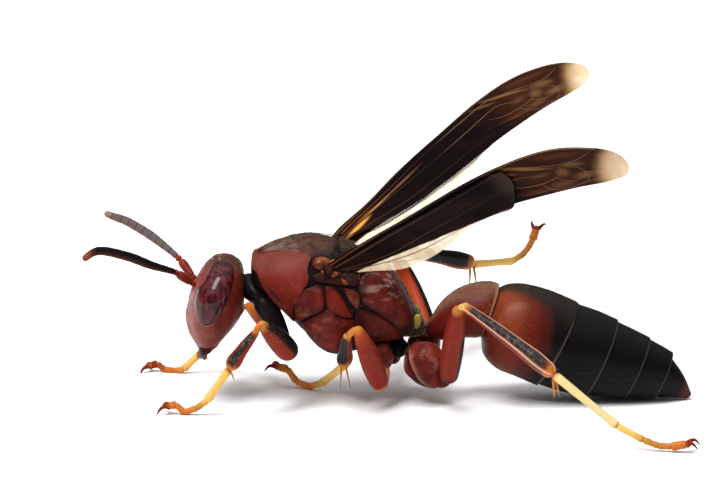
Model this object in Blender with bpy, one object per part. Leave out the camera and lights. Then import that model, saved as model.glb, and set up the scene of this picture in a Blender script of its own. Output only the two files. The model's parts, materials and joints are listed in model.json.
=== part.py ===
# Dried paper wasp, standing as posed, with its folded wings raised in a V.
# Lengths are in millimetres here and are scaled to metres when a mesh is made.
# The head points to -X, the tail to +X, the wasp's left side is -Y and +Z is up.

import math

import bmesh
import bpy
from mathutils import Matrix, Vector

MM = 0.001
ORIGIN_SHIFT = Vector((-1.175, -1.025, 0.0))   # brings the box's bottom centre to the origin
GAP = 0.04                                   # clearance between neighbouring solids
RING_SIDES = 16                              # corners of a body ring
TUBE_BEVEL = 2                               # gives eight sides on a limb
WING_THICKNESS = 0.10
LEFT, RIGHT = -1, 1

# A body ring is (x, z, half height, half width, tilt in degrees about Y).
HEAD_RINGS = [
    (-5.40, 5.84, 0.30, 0.80), (-5.42, 5.66, 0.66, 1.42), (-5.44, 5.30, 0.84, 1.86),
    (-5.54, 4.60, 1.00, 2.12), (-5.62, 3.90, 1.06, 2.06), (-5.74, 3.20, 0.94, 1.72),
    (-5.86, 2.66, 0.66, 1.22), (-5.98, 2.32, 0.36, 0.72),
]
NECK_RINGS = [
    (-4.48, 4.66, 0.34, 0.40, 0), (-4.26, 4.52, 0.40, 0.44, 10),
    (-3.90, 4.10, 0.36, 0.42, 30), (-3.66, 3.80, 0.26, 0.34, 35),
]
# Thorax stations are (x, top z, bottom z, half width).
THORAX_STATIONS = [
    (-4.26, 5.82, 5.02, 1.10), (-3.96, 6.00, 4.66, 1.62), (-3.40, 6.34, 4.10, 1.94),
    (-2.70, 6.63, 3.36, 2.10), (-2.04, 6.74, 2.66, 2.16), (-1.40, 6.69, 2.06, 2.16),
    (-0.80, 6.55, 1.90, 2.12), (-0.10, 6.32, 2.04, 2.00), (0.50, 5.80, 2.36, 1.84),
    (1.10, 5.26, 2.50, 1.60), (1.70, 4.46, 2.58, 1.22), (2.20, 3.66, 2.60, 0.80),
    (2.52, 3.22, 2.68, 0.40),
]
SEGMENT_RINGS = {
    "gaster_segment_1": [
        (2.62, 2.96, 0.26, 0.26, 20), (2.90, 3.01, 0.52, 0.50, 0), (3.30, 3.23, 0.80, 0.80, -3),
        (3.80, 3.48, 0.99, 1.02, 1), (4.36, 3.63, 1.10, 1.16, 8), (4.84, 3.65, 1.15, 1.22, 15),
        (5.10, 3.62, 1.10, 1.18, 20),
    ],
    "gaster_segment_2": [
        (5.17, 3.52, 1.12, 1.20, 22), (5.42, 3.23, 1.54, 1.62, 22), (6.00, 2.94, 1.80, 1.88, 22),
        (6.85, 2.64, 1.85, 1.96, 24), (7.72, 2.27, 1.82, 1.92, 28),
    ],
    "gaster_segment_3": [(7.77, 2.25, 1.78, 1.88, 28), (8.64, 1.98, 1.72, 1.82, 26), (9.46, 1.70, 1.58, 1.66, 24)],
    "gaster_segment_4": [(9.51, 1.68, 1.54, 1.62, 24), (10.20, 1.46, 1.40, 1.48, 24), (10.86, 1.24, 1.23, 1.30, 24)],
    "gaster_segment_5": [(10.91, 1.22, 1.19, 1.26, 24), (11.42, 1.05, 1.04, 1.10, 24), (11.92, 0.86, 0.86, 0.90, 23)],
    "gaster_segment_6": [(11.97, 0.82, 0.76, 0.80, 23), (12.50, 0.46, 0.42, 0.46, 30), (13.02, 0.12, 0.10, 0.12, 36)],
}

# Limb joints: where each coxa starts, then trochanter, knee, ankle, toes and claw.
LEGS = {
    "left_front": {
        "coxa": [(-4.00, -0.85, 4.40), (-3.05, -1.25, 2.95)],
        "femur": [(-2.74, -1.50, 2.46), (-3.80, -3.84, 3.88)],
        "tibia": [(-3.98, -3.84, 3.70), (-5.06, -3.02, 2.02)],
        "tarsus": [(-5.14, -2.98, 1.88), (-5.96, -2.60, 0.62), (-6.35, -2.50, 0.30), (-6.86, -2.42, 0.10),
                   (-7.30, -2.36, 0.38), (-7.64, -2.32, 0.26)],
    },
    "right_front": {
        "coxa": [(-4.00, 0.85, 4.40), (-3.05, 1.25, 2.95)],
        "femur": [(-2.80, 1.60, 2.30), (-4.38, 3.60, 2.94)],
        "tibia": [(-4.54, 3.66, 2.84), (-6.28, 4.08, 1.06)],
        "tarsus": [(-6.38, 4.10, 0.92), (-7.14, 4.20, 0.16), (-7.52, 4.30, 0.09), (-7.92, 4.38, 0.12),
                   (-8.34, 4.46, 0.42), (-8.60, 4.50, 0.20)],
    },
    "left_mid": {
        "coxa": [(0.40, -0.70, 2.40), (1.10, -1.10, 1.52)],
        "femur": [(0.86, -1.42, 0.98), (-0.10, -3.84, 3.74)],
        "tibia": [(-0.50, -3.56, 3.46), (-0.62, -0.90, 1.68)],
        "tarsus": [(-0.62, -0.74, 1.56), (-1.52, 1.26, 0.34), (-2.04, 1.66, 0.10), (-2.54, 2.00, 0.22),
                   (-2.90, 2.30, 0.66), (-3.26, 2.42, 0.72)],
    },
    "right_mid": {
        "coxa": [(0.55, 0.70, 2.40), (1.32, 1.10, 1.52)],
        "femur": [(1.36, 1.46, 1.14), (1.02, 4.30, 3.42)],
        "tibia": [(0.98, 4.46, 3.34), (0.50, 6.96, 0.98)],
        "tarsus": [(0.46, 7.08, 0.86), (-0.16, 8.66, 0.14), (-0.50, 9.16, 0.09), (-0.76, 9.50, 0.10),
                   (-1.00, 9.78, 0.30), (-1.20, 10.00, 0.16)],
    },
    "left_hind": {
        "coxa": [(2.02, -0.62, 2.34), (2.98, -1.15, 1.16)],
        "femur": [(3.46, -1.52, 1.14), (3.78, -4.44, 4.78)],
        "tibia": [(3.94, -4.62, 4.92), (7.36, -6.78, 2.74)],
        "tarsus": [(7.48, -6.84, 2.64), (9.76, -7.58, 0.90), (10.76, -7.78, 0.44), (11.36, -7.88, 0.09),
                   (11.84, -7.98, 0.26), (12.50, -8.08, 0.20)],
    },
    "right_hind": {
        "coxa": [(2.02, 0.62, 2.34), (2.92, 1.15, 1.50)],
        "femur": [(2.94, 1.56, 1.80), (1.46, 4.96, 4.78)],
        "tibia": [(1.48, 5.14, 4.86), (4.62, 8.66, 3.56)],
        "tarsus": [(4.72, 8.78, 3.48), (6.34, 11.20, 3.06), (6.80, 11.78, 3.20), (7.06, 12.10, 3.44),
                   (7.24, 12.34, 3.72), (7.38, 12.54, 4.10)],
    },
}
# Radii along each limb piece, spread evenly from its first point to its last.
COXA_RADII = {"front": (0.34, 0.44, 0.40, 0.22), "mid": (0.34, 0.42, 0.38, 0.24), "hind": (0.40, 0.56, 0.50, 0.26)}
FEMUR_RADII = {
    "front": (0.20, 0.32, 0.40, 0.40, 0.30, 0.18),
    "mid": (0.20, 0.34, 0.42, 0.40, 0.28, 0.17),
    "hind": (0.20, 0.34, 0.38, 0.37, 0.30, 0.18),
}
TIBIA_RADII = (0.15, 0.19, 0.24, 0.27, 0.22)
TARSUS_RADII = (0.15, 0.15, 0.13, 0.13, 0.12, 0.06)

ANTENNAE = {
    LEFT: [(-6.66, -0.52, 4.92), (-7.14, -0.94, 5.34), (-7.48, -1.30, 5.54), (-8.16, -1.80, 5.86),
           (-8.98, -2.30, 6.30), (-10.06, -2.90, 6.66), (-10.68, -3.20, 6.38)],
    RIGHT: [(-6.66, 0.52, 4.92), (-7.10, 1.06, 5.42), (-7.56, 1.52, 5.72), (-8.34, 2.30, 6.14),
            (-9.24, 3.00, 6.52), (-9.80, 3.24, 6.68), (-10.20, 3.40, 6.80)],
}
SCAPE_RADIUS = 0.13
FLAGELLUM_RADII = (0.13, 0.15, 0.17, 0.17, 0.15)

# Wing frames: base point, chord turn in degrees; the span direction is shared by both sides.
WING_BASE = Vector((-1.25, 2.05, 5.60))
WING_SPAN = Vector((0.762, 0.531, 0.372)).normalized()
CHORD_TURN = {LEFT: 48.0, RIGHT: 70.0}
# Wing outlines are (distance along the span, distance behind the span line).
FOREWING_OUTLINE = [
    (0.35, -0.42), (1.3, -0.75), (3.0, -1.10), (5.0, -1.60), (7.0, -2.04), (9.0, -2.44), (10.5, -2.64),
    (12.0, -2.68), (13.2, -2.45), (14.2, -1.94), (14.75, -1.35), (14.85, -0.75), (14.5, -0.22),
    (13.6, 0.00), (11.8, -0.20), (9.5, -0.38), (8.0, -0.34), (6.0, -0.10), (4.0, 0.08), (1.5, 0.05), (0.35, -0.05),
]
HINDWING_OUTLINE = [
    (0.55, -0.40), (1.4, -0.62), (3.0, -0.96), (5.0, -1.45), (7.0, -1.90), (9.0, -2.30), (10.1, -2.46),
    (10.5, -2.30), (10.46, -1.85), (10.1, -1.22), (9.45, -0.46), (8.3, -0.38), (7.3, -0.18), (6.0, 0.30),
    (4.8, 0.70), (3.3, 0.90), (2.2, 0.62), (0.9, 0.16),
]
HINDWING_DEPTH = 0.16                        # how far the hindwing lies under the forewing


def clear_scene():
    for item in list(bpy.data.objects):
        bpy.data.objects.remove(item, do_unlink=True)


def new_collection(name):
    collection = bpy.data.collections.new(name)
    bpy.context.scene.collection.children.link(collection)
    return collection


def chitin(name, colour, roughness=0.35):
    material = bpy.data.materials.new(name)
    material.use_nodes = True
    shader = material.node_tree.nodes["Principled BSDF"]
    shader.inputs["Base Color"].default_value = (*colour, 1.0)
    shader.inputs["Roughness"].default_value = roughness
    shader.inputs["Metallic"].default_value = 0.0
    return material


def place(point):
    return (Vector(point) + ORIGIN_SHIFT) * MM


def add_object(name, mesh, material, collection):
    item = bpy.data.objects.new(name, mesh)
    if material:
        mesh.materials.append(material)
    collection.objects.link(item)
    return item


def loft(name, rings, material, collection):
    """Skin a closed solid over a row of unlike rings, each a list of points."""
    form = bmesh.new()
    loops = [[form.verts.new(place(point)) for point in ring] for ring in rings]
    count = len(loops[0])
    for near, far in zip(loops, loops[1:]):
        for i in range(count):
            j = (i + 1) % count
            form.faces.new((near[i], near[j], far[j], far[i]))
    form.faces.new(loops[0])
    form.faces.new(loops[-1])
    bmesh.ops.triangulate(form, faces=[face for face in form.faces if len(face.verts) > 4])
    bmesh.ops.recalc_face_normals(form, faces=form.faces)
    mesh = bpy.data.meshes.new(name)
    form.to_mesh(mesh)
    form.free()
    mesh.shade_smooth()
    return add_object(name, mesh, material, collection)


def tilted_ring(x, z, half_height, half_width, tilt):
    """An ellipse across the body, its top leaning back by the tilt."""
    lean = math.radians(tilt)
    up = Vector((math.sin(lean), 0, math.cos(lean)))
    side = Vector((0, 1, 0))
    turns = [2 * math.pi * i / RING_SIDES for i in range(RING_SIDES)]
    return [Vector((x, 0, z)) + up * half_height * math.cos(t) + side * half_width * math.sin(t) for t in turns]


def level_ring(x, z, half_length, half_width):
    turns = [2 * math.pi * i / RING_SIDES for i in range(RING_SIDES)]
    return [Vector((x + half_length * math.cos(t), half_width * math.sin(t), z)) for t in turns]


def tube_mesh(name, points, radii, collection, material=None, extra=0.0):
    """A tapered limb: a bevelled curve made a closed mesh with its caps welded."""
    curve = bpy.data.curves.new(name, "CURVE")
    curve.dimensions = "3D"
    curve.bevel_depth = MM
    curve.bevel_resolution = TUBE_BEVEL
    curve.use_fill_caps = True
    spline = curve.splines.new("POLY")
    spline.points.add(len(points) - 1)
    for corner, point, radius in zip(spline.points, points, radii):
        corner.co = (*place(point), 1.0)
        corner.radius = radius + extra
    holder = bpy.data.objects.new(name + "_curve", curve)
    collection.objects.link(holder)
    bpy.context.view_layer.update()
    mesh = bpy.data.meshes.new_from_object(holder.evaluated_get(bpy.context.evaluated_depsgraph_get()))
    bpy.data.objects.remove(holder, do_unlink=True)
    form = bmesh.new()
    form.from_mesh(mesh)
    bmesh.ops.remove_doubles(form, verts=form.verts, dist=1e-6)
    bmesh.ops.recalc_face_normals(form, faces=form.faces)
    form.to_mesh(mesh)
    form.free()
    mesh.name = name
    mesh.materials.clear()
    mesh.shade_smooth()
    return add_object(name, mesh, material, collection)


def spread(points, count):
    """Points spread evenly along a straight limb piece from its first end to its last."""
    start, end = Vector(points[0]), Vector(points[-1])
    return [start.lerp(end, i / (count - 1)) for i in range(count)]


def ellipsoid(name, centre, radii, lean, collection, material=None, extra=0.0):
    """A ball stretched to three radii and leaned about Y."""
    form = bmesh.new()
    bmesh.ops.create_uvsphere(form, u_segments=16, v_segments=10, radius=1.0)
    size = Matrix.Diagonal(Vector([r + extra for r in radii]) * MM).to_4x4()
    turn = Matrix.Rotation(math.radians(lean), 4, "Y")
    form.transform(Matrix.Translation(place(centre)) @ turn @ size)
    mesh = bpy.data.meshes.new(name)
    form.to_mesh(mesh)
    form.free()
    mesh.shade_smooth()
    return add_object(name, mesh, material, collection)


def carve(target, cutter):
    """Cut one solid's inflated shape out of another."""
    cut = target.modifiers.new("clear " + cutter.name, "BOOLEAN")
    cut.operation = "DIFFERENCE"
    cut.object = cutter
    cutter.hide_render = True
    cutter.display_type = "WIRE"


def keep_behind(item, point, normal):
    """Slice a solid flat and keep what lies against the normal."""
    form = bmesh.new()
    form.from_mesh(item.data)
    parts = form.verts[:] + form.edges[:] + form.faces[:]
    bmesh.ops.bisect_plane(form, geom=parts, plane_co=place(point), plane_no=Vector(normal), clear_outer=True)
    rim = [edge for edge in form.edges if edge.is_boundary]
    if rim:
        bmesh.ops.triangle_fill(form, edges=rim, use_beauty=True)
    bmesh.ops.recalc_face_normals(form, faces=form.faces)
    form.to_mesh(item.data)
    form.free()


def make_head(parts, cutters):
    rings = [level_ring(*ring) for ring in HEAD_RINGS]
    capsule = loft("head_capsule", rings, chitin("head red", (0.16, 0.022, 0.014)), parts)
    eye_red = chitin("eye maroon", (0.09, 0.012, 0.018), 0.2)
    for side, label in ((LEFT, "left"), (RIGHT, "right")):
        centre, radii = (-5.66, side * 1.52, 4.50), (0.66, 0.62, 1.24)
        ellipsoid("compound_eye_" + label, centre, radii, 15, parts, eye_red)
        socket = ellipsoid("eye_socket_" + label, centre, radii, 15, cutters, extra=GAP)
        carve(capsule, socket)
        jaw = [(-5.78, side * 0.62, 2.20), (-6.00, side * 0.50, 1.92), (-6.18, side * 0.20, 1.74)]
        tube_mesh("mandible_" + label, jaw, (0.22, 0.24, 0.12), parts, chitin("jaw red", (0.12, 0.01, 0.008)))


def make_antennae(parts):
    red = chitin("scape red", (0.2, 0.025, 0.012))
    black = chitin("flagellum black", (0.02, 0.015, 0.014), 0.5)
    for side, label in ((LEFT, "left"), (RIGHT, "right")):
        route = ANTENNAE[side]
        tube_mesh("antenna_scape_" + label, route[:2], (0.10, SCAPE_RADIUS), parts, red)
        start = Vector(route[1]).lerp(Vector(route[2]), 0.18)
        tube_mesh("antenna_flagellum_" + label, [start] + route[2:], FLAGELLUM_RADII + (0.09,), parts, black)


def make_thorax(parts, cutters):
    """One lofted trunk, sliced along its main seams into six plates."""
    red = chitin("thorax red", (0.15, 0.02, 0.014))
    grey = chitin("scutum grey", (0.06, 0.045, 0.035), 0.5)
    seam_a = ((-2.28, 0, 4.45), (1.0, 0, -0.24))       # behind the pronotum
    seam_top = ((-2.40, 0, 5.90), (0.06, 0, 1.0))      # under the scutum
    seam_scutellum = ((-0.86, 0, 6.2), (1.0, 0, 0.10))
    seam_meta = ((-0.06, 0, 4.2), (1.0, 0, 0.04))      # in front of the metathorax
    seam_rear = ((0.52, 0, 4.2), (1.0, 0, 0.12))       # in front of the propodeum
    plates = {
        "pronotum": (red, [(seam_a, 1), (seam_top, 1)]),
        "mesoscutum": (grey, [(seam_top, -1), (seam_scutellum, 1)]),
        "scutellum": (grey, [(seam_top, -1), (seam_scutellum, -1), (seam_meta, 1)]),
        "mesopleuron": (red, [(seam_a, -1), (seam_top, 1), (seam_meta, 1)]),
        "metathorax": (red, [(seam_meta, -1), (seam_rear, 1)]),
        "propodeum": (red, [(seam_rear, -1)]),
    }
    made = []
    for name, (material, cuts) in plates.items():
        rings = []
        for x, top, bottom, half_width in THORAX_STATIONS:
            rings.append(tilted_ring(x, (top + bottom) / 2, (top - bottom) / 2, half_width, 0))
        plate = loft(name, rings, material, parts)
        for (point, normal), keep in cuts:
            outward = Vector(normal).normalized() * keep
            keep_behind(plate, Vector(point) - outward * GAP / 2, outward)
        made.append(plate)
    black = chitin("neck black", (0.012, 0.012, 0.014))
    made.append(loft("neck", [tilted_ring(*ring) for ring in NECK_RINGS], black, parts))
    return made


def make_tegulae(parts):
    amber = chitin("tegula amber", (0.45, 0.14, 0.04), 0.25)
    for side, label in ((LEFT, "left"), (RIGHT, "right")):
        ellipsoid("tegula_" + label, (-1.62, side * 2.20, 5.36), (0.36, 0.12, 0.24), 10, parts, amber)


def make_gaster(parts):
    red = chitin("gaster red", (0.14, 0.018, 0.012))
    black = chitin("gaster black", (0.012, 0.01, 0.01))
    for name, rings in SEGMENT_RINGS.items():
        material = red if name[-1] in "12" else black
        loft(name, [tilted_ring(*ring) for ring in rings], material, parts)


def wing_frame(side):
    """The wing's span, chord and normal directions for one side."""
    span = Vector((WING_SPAN.x, side * WING_SPAN.y, WING_SPAN.z))
    steep = -(Vector((0, 0, 1)) - span * span.z).normalized()
    inward = Vector((WING_SPAN.y, -side * WING_SPAN.x, 0)).normalized()
    turn = math.radians(CHORD_TURN[side])
    chord = steep * math.cos(turn) + inward * math.sin(turn)
    return span, chord, span.cross(chord) * side


def make_wing(name, outline, side, depth, material, parts):
    """A flat outline given half its thickness each way, then laid in the wing's frame."""
    curve = bpy.data.curves.new(name, "CURVE")
    curve.dimensions = "2D"
    curve.fill_mode = "BOTH"
    curve.extrude = WING_THICKNESS / 2 * MM
    spline = curve.splines.new("POLY")
    spline.points.add(len(outline) - 1)
    for corner, (along, behind) in zip(spline.points, outline):
        corner.co = (along * MM, behind * MM, 0.0, 1.0)
    spline.use_cyclic_u = True
    curve.materials.append(material)
    item = bpy.data.objects.new(name, curve)
    parts.objects.link(item)
    span, chord, under = wing_frame(side)
    base = Vector((WING_BASE.x, side * WING_BASE.y, WING_BASE.z)) + under * depth
    turn = Matrix((span, chord, span.cross(chord))).transposed().to_4x4()
    item.matrix_world = Matrix.Translation(place(base)) @ turn


def make_wings(parts):
    brown = chitin("wing brown", (0.05, 0.02, 0.01), 0.4)
    for side, label in ((LEFT, "left"), (RIGHT, "right")):
        make_wing("forewing_" + label, FOREWING_OUTLINE, side, 0.0, brown, parts)
        make_wing("hindwing_" + label, HINDWING_OUTLINE, side, HINDWING_DEPTH, brown, parts)


def make_legs(parts, cutters):
    """Coxa, femur with its trochanter, tibia and tarsus for each leg; soles are cut flat at the ground."""
    red = chitin("leg red", (0.2, 0.03, 0.016))
    yellow = chitin("tarsus yellow", (0.7, 0.36, 0.08), 0.4)
    hips = []
    for leg, pieces in LEGS.items():
        pair = leg.split("_")[1]
        coxa = spread(pieces["coxa"], len(COXA_RADII[pair]))
        tube_mesh(leg + "_coxa", coxa, COXA_RADII[pair], parts, red)
        hips.append(tube_mesh(leg + "_hip_room", coxa, COXA_RADII[pair], cutters, extra=GAP))
        femur = spread(pieces["femur"], len(FEMUR_RADII[pair]))
        tube_mesh(leg + "_femur", femur, FEMUR_RADII[pair], parts, red)
        tube_mesh(leg + "_tibia", spread(pieces["tibia"], len(TIBIA_RADII)), TIBIA_RADII, parts, red)
        foot = tube_mesh(leg + "_tarsus", pieces["tarsus"], TARSUS_RADII, parts, yellow)
        if min(corner.co.z for corner in foot.data.vertices) < 0:
            keep_behind(foot, (0, 0, 0), (0, 0, -1))
    return hips


def build():
    clear_scene()
    parts = new_collection("paper wasp")
    cutters = new_collection("cutters")
    make_head(parts, cutters)
    make_antennae(parts)
    trunk = make_thorax(parts, cutters)
    make_tegulae(parts)
    make_gaster(parts)
    make_wings(parts)
    for hip in make_legs(parts, cutters):
        for plate in trunk:
            carve(plate, hip)


build()
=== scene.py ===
import json
import math

import bmesh
import bpy
import numpy as np
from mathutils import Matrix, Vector

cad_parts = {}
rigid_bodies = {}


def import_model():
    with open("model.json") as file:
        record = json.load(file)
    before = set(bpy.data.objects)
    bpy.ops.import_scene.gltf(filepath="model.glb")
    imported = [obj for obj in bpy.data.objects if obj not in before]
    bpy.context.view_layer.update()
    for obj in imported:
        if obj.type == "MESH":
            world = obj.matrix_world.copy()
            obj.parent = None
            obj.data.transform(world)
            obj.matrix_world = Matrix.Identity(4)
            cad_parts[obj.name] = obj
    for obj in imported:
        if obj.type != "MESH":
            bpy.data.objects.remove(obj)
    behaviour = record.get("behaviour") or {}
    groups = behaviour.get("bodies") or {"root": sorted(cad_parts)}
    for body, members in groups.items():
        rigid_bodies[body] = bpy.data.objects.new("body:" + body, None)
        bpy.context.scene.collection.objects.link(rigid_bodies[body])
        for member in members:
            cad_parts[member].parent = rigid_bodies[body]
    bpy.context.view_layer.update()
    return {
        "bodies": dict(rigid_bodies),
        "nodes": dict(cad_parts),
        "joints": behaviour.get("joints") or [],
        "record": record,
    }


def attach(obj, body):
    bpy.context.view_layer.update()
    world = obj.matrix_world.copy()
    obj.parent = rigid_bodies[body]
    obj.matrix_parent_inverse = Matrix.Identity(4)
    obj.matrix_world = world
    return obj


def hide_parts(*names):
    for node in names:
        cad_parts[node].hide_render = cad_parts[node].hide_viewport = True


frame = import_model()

# Shapes below are in millimetres about the wasp's own axis; this brings them to the frame's origin.
mm = 0.001
originShift = np.array((-1.175, -1.025, 0.0))
sideNames = {-1: "left", 1: "right"}
viewTilt = math.tan(math.radians(12.5))  # outlines of side plates are given as seen from a little above
nudge = 0.03  # how far apart a surface's slope is taken


# small tools for shapes
def smoothRows(rows, count, closed=False):
    # a soft curve through the rows, Catmull-Rom style
    rows = np.array(rows, float)
    last = len(rows) if closed else len(rows) - 1
    spots = np.linspace(0, last, count, endpoint=not closed)
    step = np.minimum(np.floor(spots).astype(int), last - 1)
    f = (spots - step)[:, None]

    def row(k):
        return rows[k % len(rows)] if closed else rows[np.clip(k, 0, len(rows) - 1)]

    a, b, c, d = row(step - 1), row(step), row(step + 1), row(step + 2)
    return 0.5 * (2 * b + (c - a) * f + (2 * a - 5 * b + 4 * c - d) * f**2 + (3 * b - a - 3 * c + d) * f**3)


def rounded(angles, power):
    # cosine and sine of a squarish or plain oval
    c, s = np.cos(angles), np.sin(angles)
    return np.sign(c) * np.abs(c) ** power, np.sign(s) * np.abs(s) ** power


def fullTurn(count):
    return np.linspace(0, 2 * math.pi, count, endpoint=False)


def folded(angles):
    # how far each angle is from the up side, the same to left and right
    return np.abs((angles + math.pi) % (2 * math.pi) - math.pi)


def gridFaces(rows, columns):
    r, c = np.meshgrid(np.arange(rows - 1), np.arange(columns), indexing="ij")
    r, c = r.ravel(), c.ravel()
    n = (c + 1) % columns
    here, above = r * columns, (r + 1) * columns
    return np.stack((here + c, here + n, above + n, above + c), 1).tolist()


def sweptShape(rings, uv=None):
    # rings skinned into one closed form with a pole at each end
    rows, columns = rings.shape[:2]
    points = np.concatenate((rings.reshape(-1, 3), [rings[0].mean(0)], [rings[-1].mean(0)]))
    faces = gridFaces(rows, columns)
    first, last = rows * columns, rows * columns + 1
    for i in range(columns):
        j = (i + 1) % columns
        faces.append([first, j, i])
        faces.append([last, (rows - 1) * columns + i, (rows - 1) * columns + j])
    if uv is None:
        return points, faces, np.zeros((len(points), 2))
    flat = uv.reshape(-1, 2)
    ends = [[0.5, flat[:, 1].min()], [0.5, flat[:, 1].max()]]
    return points, faces, np.concatenate((flat, ends))


def joined(shapes):
    points, faces, uvs, base = [], [], [], 0
    for spots, polygons, uv in shapes:
        points.append(spots)
        uvs.append(uv)
        faces += [[k + base for k in polygon] for polygon in polygons]
        base += len(spots)
    return np.concatenate(points), faces, np.concatenate(uvs)


def makePiece(name, shape, material, replaced=()):
    points, faces, uv = shape
    mesh = bpy.data.meshes.new(name)
    mesh.from_pydata(((np.asarray(points) + originShift) * mm).tolist(), [], faces)
    corners = np.zeros(len(mesh.loops), int)
    mesh.loops.foreach_get("vertex_index", corners)
    mesh.uv_layers.new(name="UVMap").data.foreach_set("uv", uv[corners].astype(np.float32).ravel())
    form = bmesh.new()
    form.from_mesh(mesh)
    bmesh.ops.recalc_face_normals(form, faces=form.faces)
    form.to_mesh(mesh)
    form.free()
    mesh.materials.append(material)
    mesh.shade_smooth()
    piece = bpy.data.objects.new(name, mesh)
    bpy.context.scene.collection.objects.link(piece)
    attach(piece, "root")
    if replaced:
        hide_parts(*replaced)
    return piece


def unit(vectors):
    return vectors / np.maximum(np.linalg.norm(vectors, axis=-1, keepdims=True), 1e-9)


def limbShape(path, radii, steps=48, sides=20, up=(0, 0, 1), flat=1.0, ripple=None):
    # a tapered limb along a soft path; u runs round from the up side, v along it
    path = np.array(path, float)
    t = (1 - np.cos(np.linspace(0, math.pi, steps))) / 2
    dense = smoothRows(path, 400) if len(path) > 2 else np.linspace(path[0], path[-1], 400)
    run = np.concatenate(([0], np.cumsum(np.linalg.norm(np.diff(dense, axis=0), axis=1))))
    length = run[-1]
    line = np.stack([np.interp(t * length, run, dense[:, k]) for k in range(3)], 1)
    tangent = unit(np.gradient(line, axis=0))
    girth = smoothRows(np.array(radii, float)[:, None], 200)[:, 0]
    radius = np.interp(t, np.linspace(0, 1, 200), girth)
    if ripple is not None:
        radius = radius * ripple(t)
    for gap in (t * length, (1 - t) * length):
        near = np.clip(1 - gap / np.maximum(radius, 1e-6), 0, 1)
        radius = radius * np.sqrt(np.maximum(1 - near**2, 0.0004))  # round at both ends
    side = unit(np.cross(tangent, np.array(up, float)))
    top = np.cross(side, tangent)
    angles = fullTurn(sides)
    c, s = np.cos(angles)[None, :, None], np.sin(angles)[None, :, None]
    rings = line[:, None] + radius[:, None, None] * (c * top[:, None] + s * flat * side[:, None])
    uv = np.stack(np.broadcast_arrays(folded(angles)[None, :] / math.pi, t[:, None]), -1)
    return sweptShape(rings, uv)


def blob(centre, radii, turn=0.0, sides=24):
    # a small rounded lump, leaned about Y
    polar = np.linspace(0.02, math.pi - 0.02, sides // 2 + 1)[:, None]
    angles = fullTurn(sides)[None, :]
    x = radii[0] * np.sin(polar) * np.cos(angles)
    y = radii[1] * np.sin(polar) * np.sin(angles)
    z = radii[2] * np.cos(polar) * np.ones_like(angles)
    lean = math.radians(turn)
    cos, sin = math.cos(lean), math.sin(lean)
    spots = np.stack((x * cos + z * sin, y, z * cos - x * sin), -1)
    return sweptShape(spots + np.array(centre, float))


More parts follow.
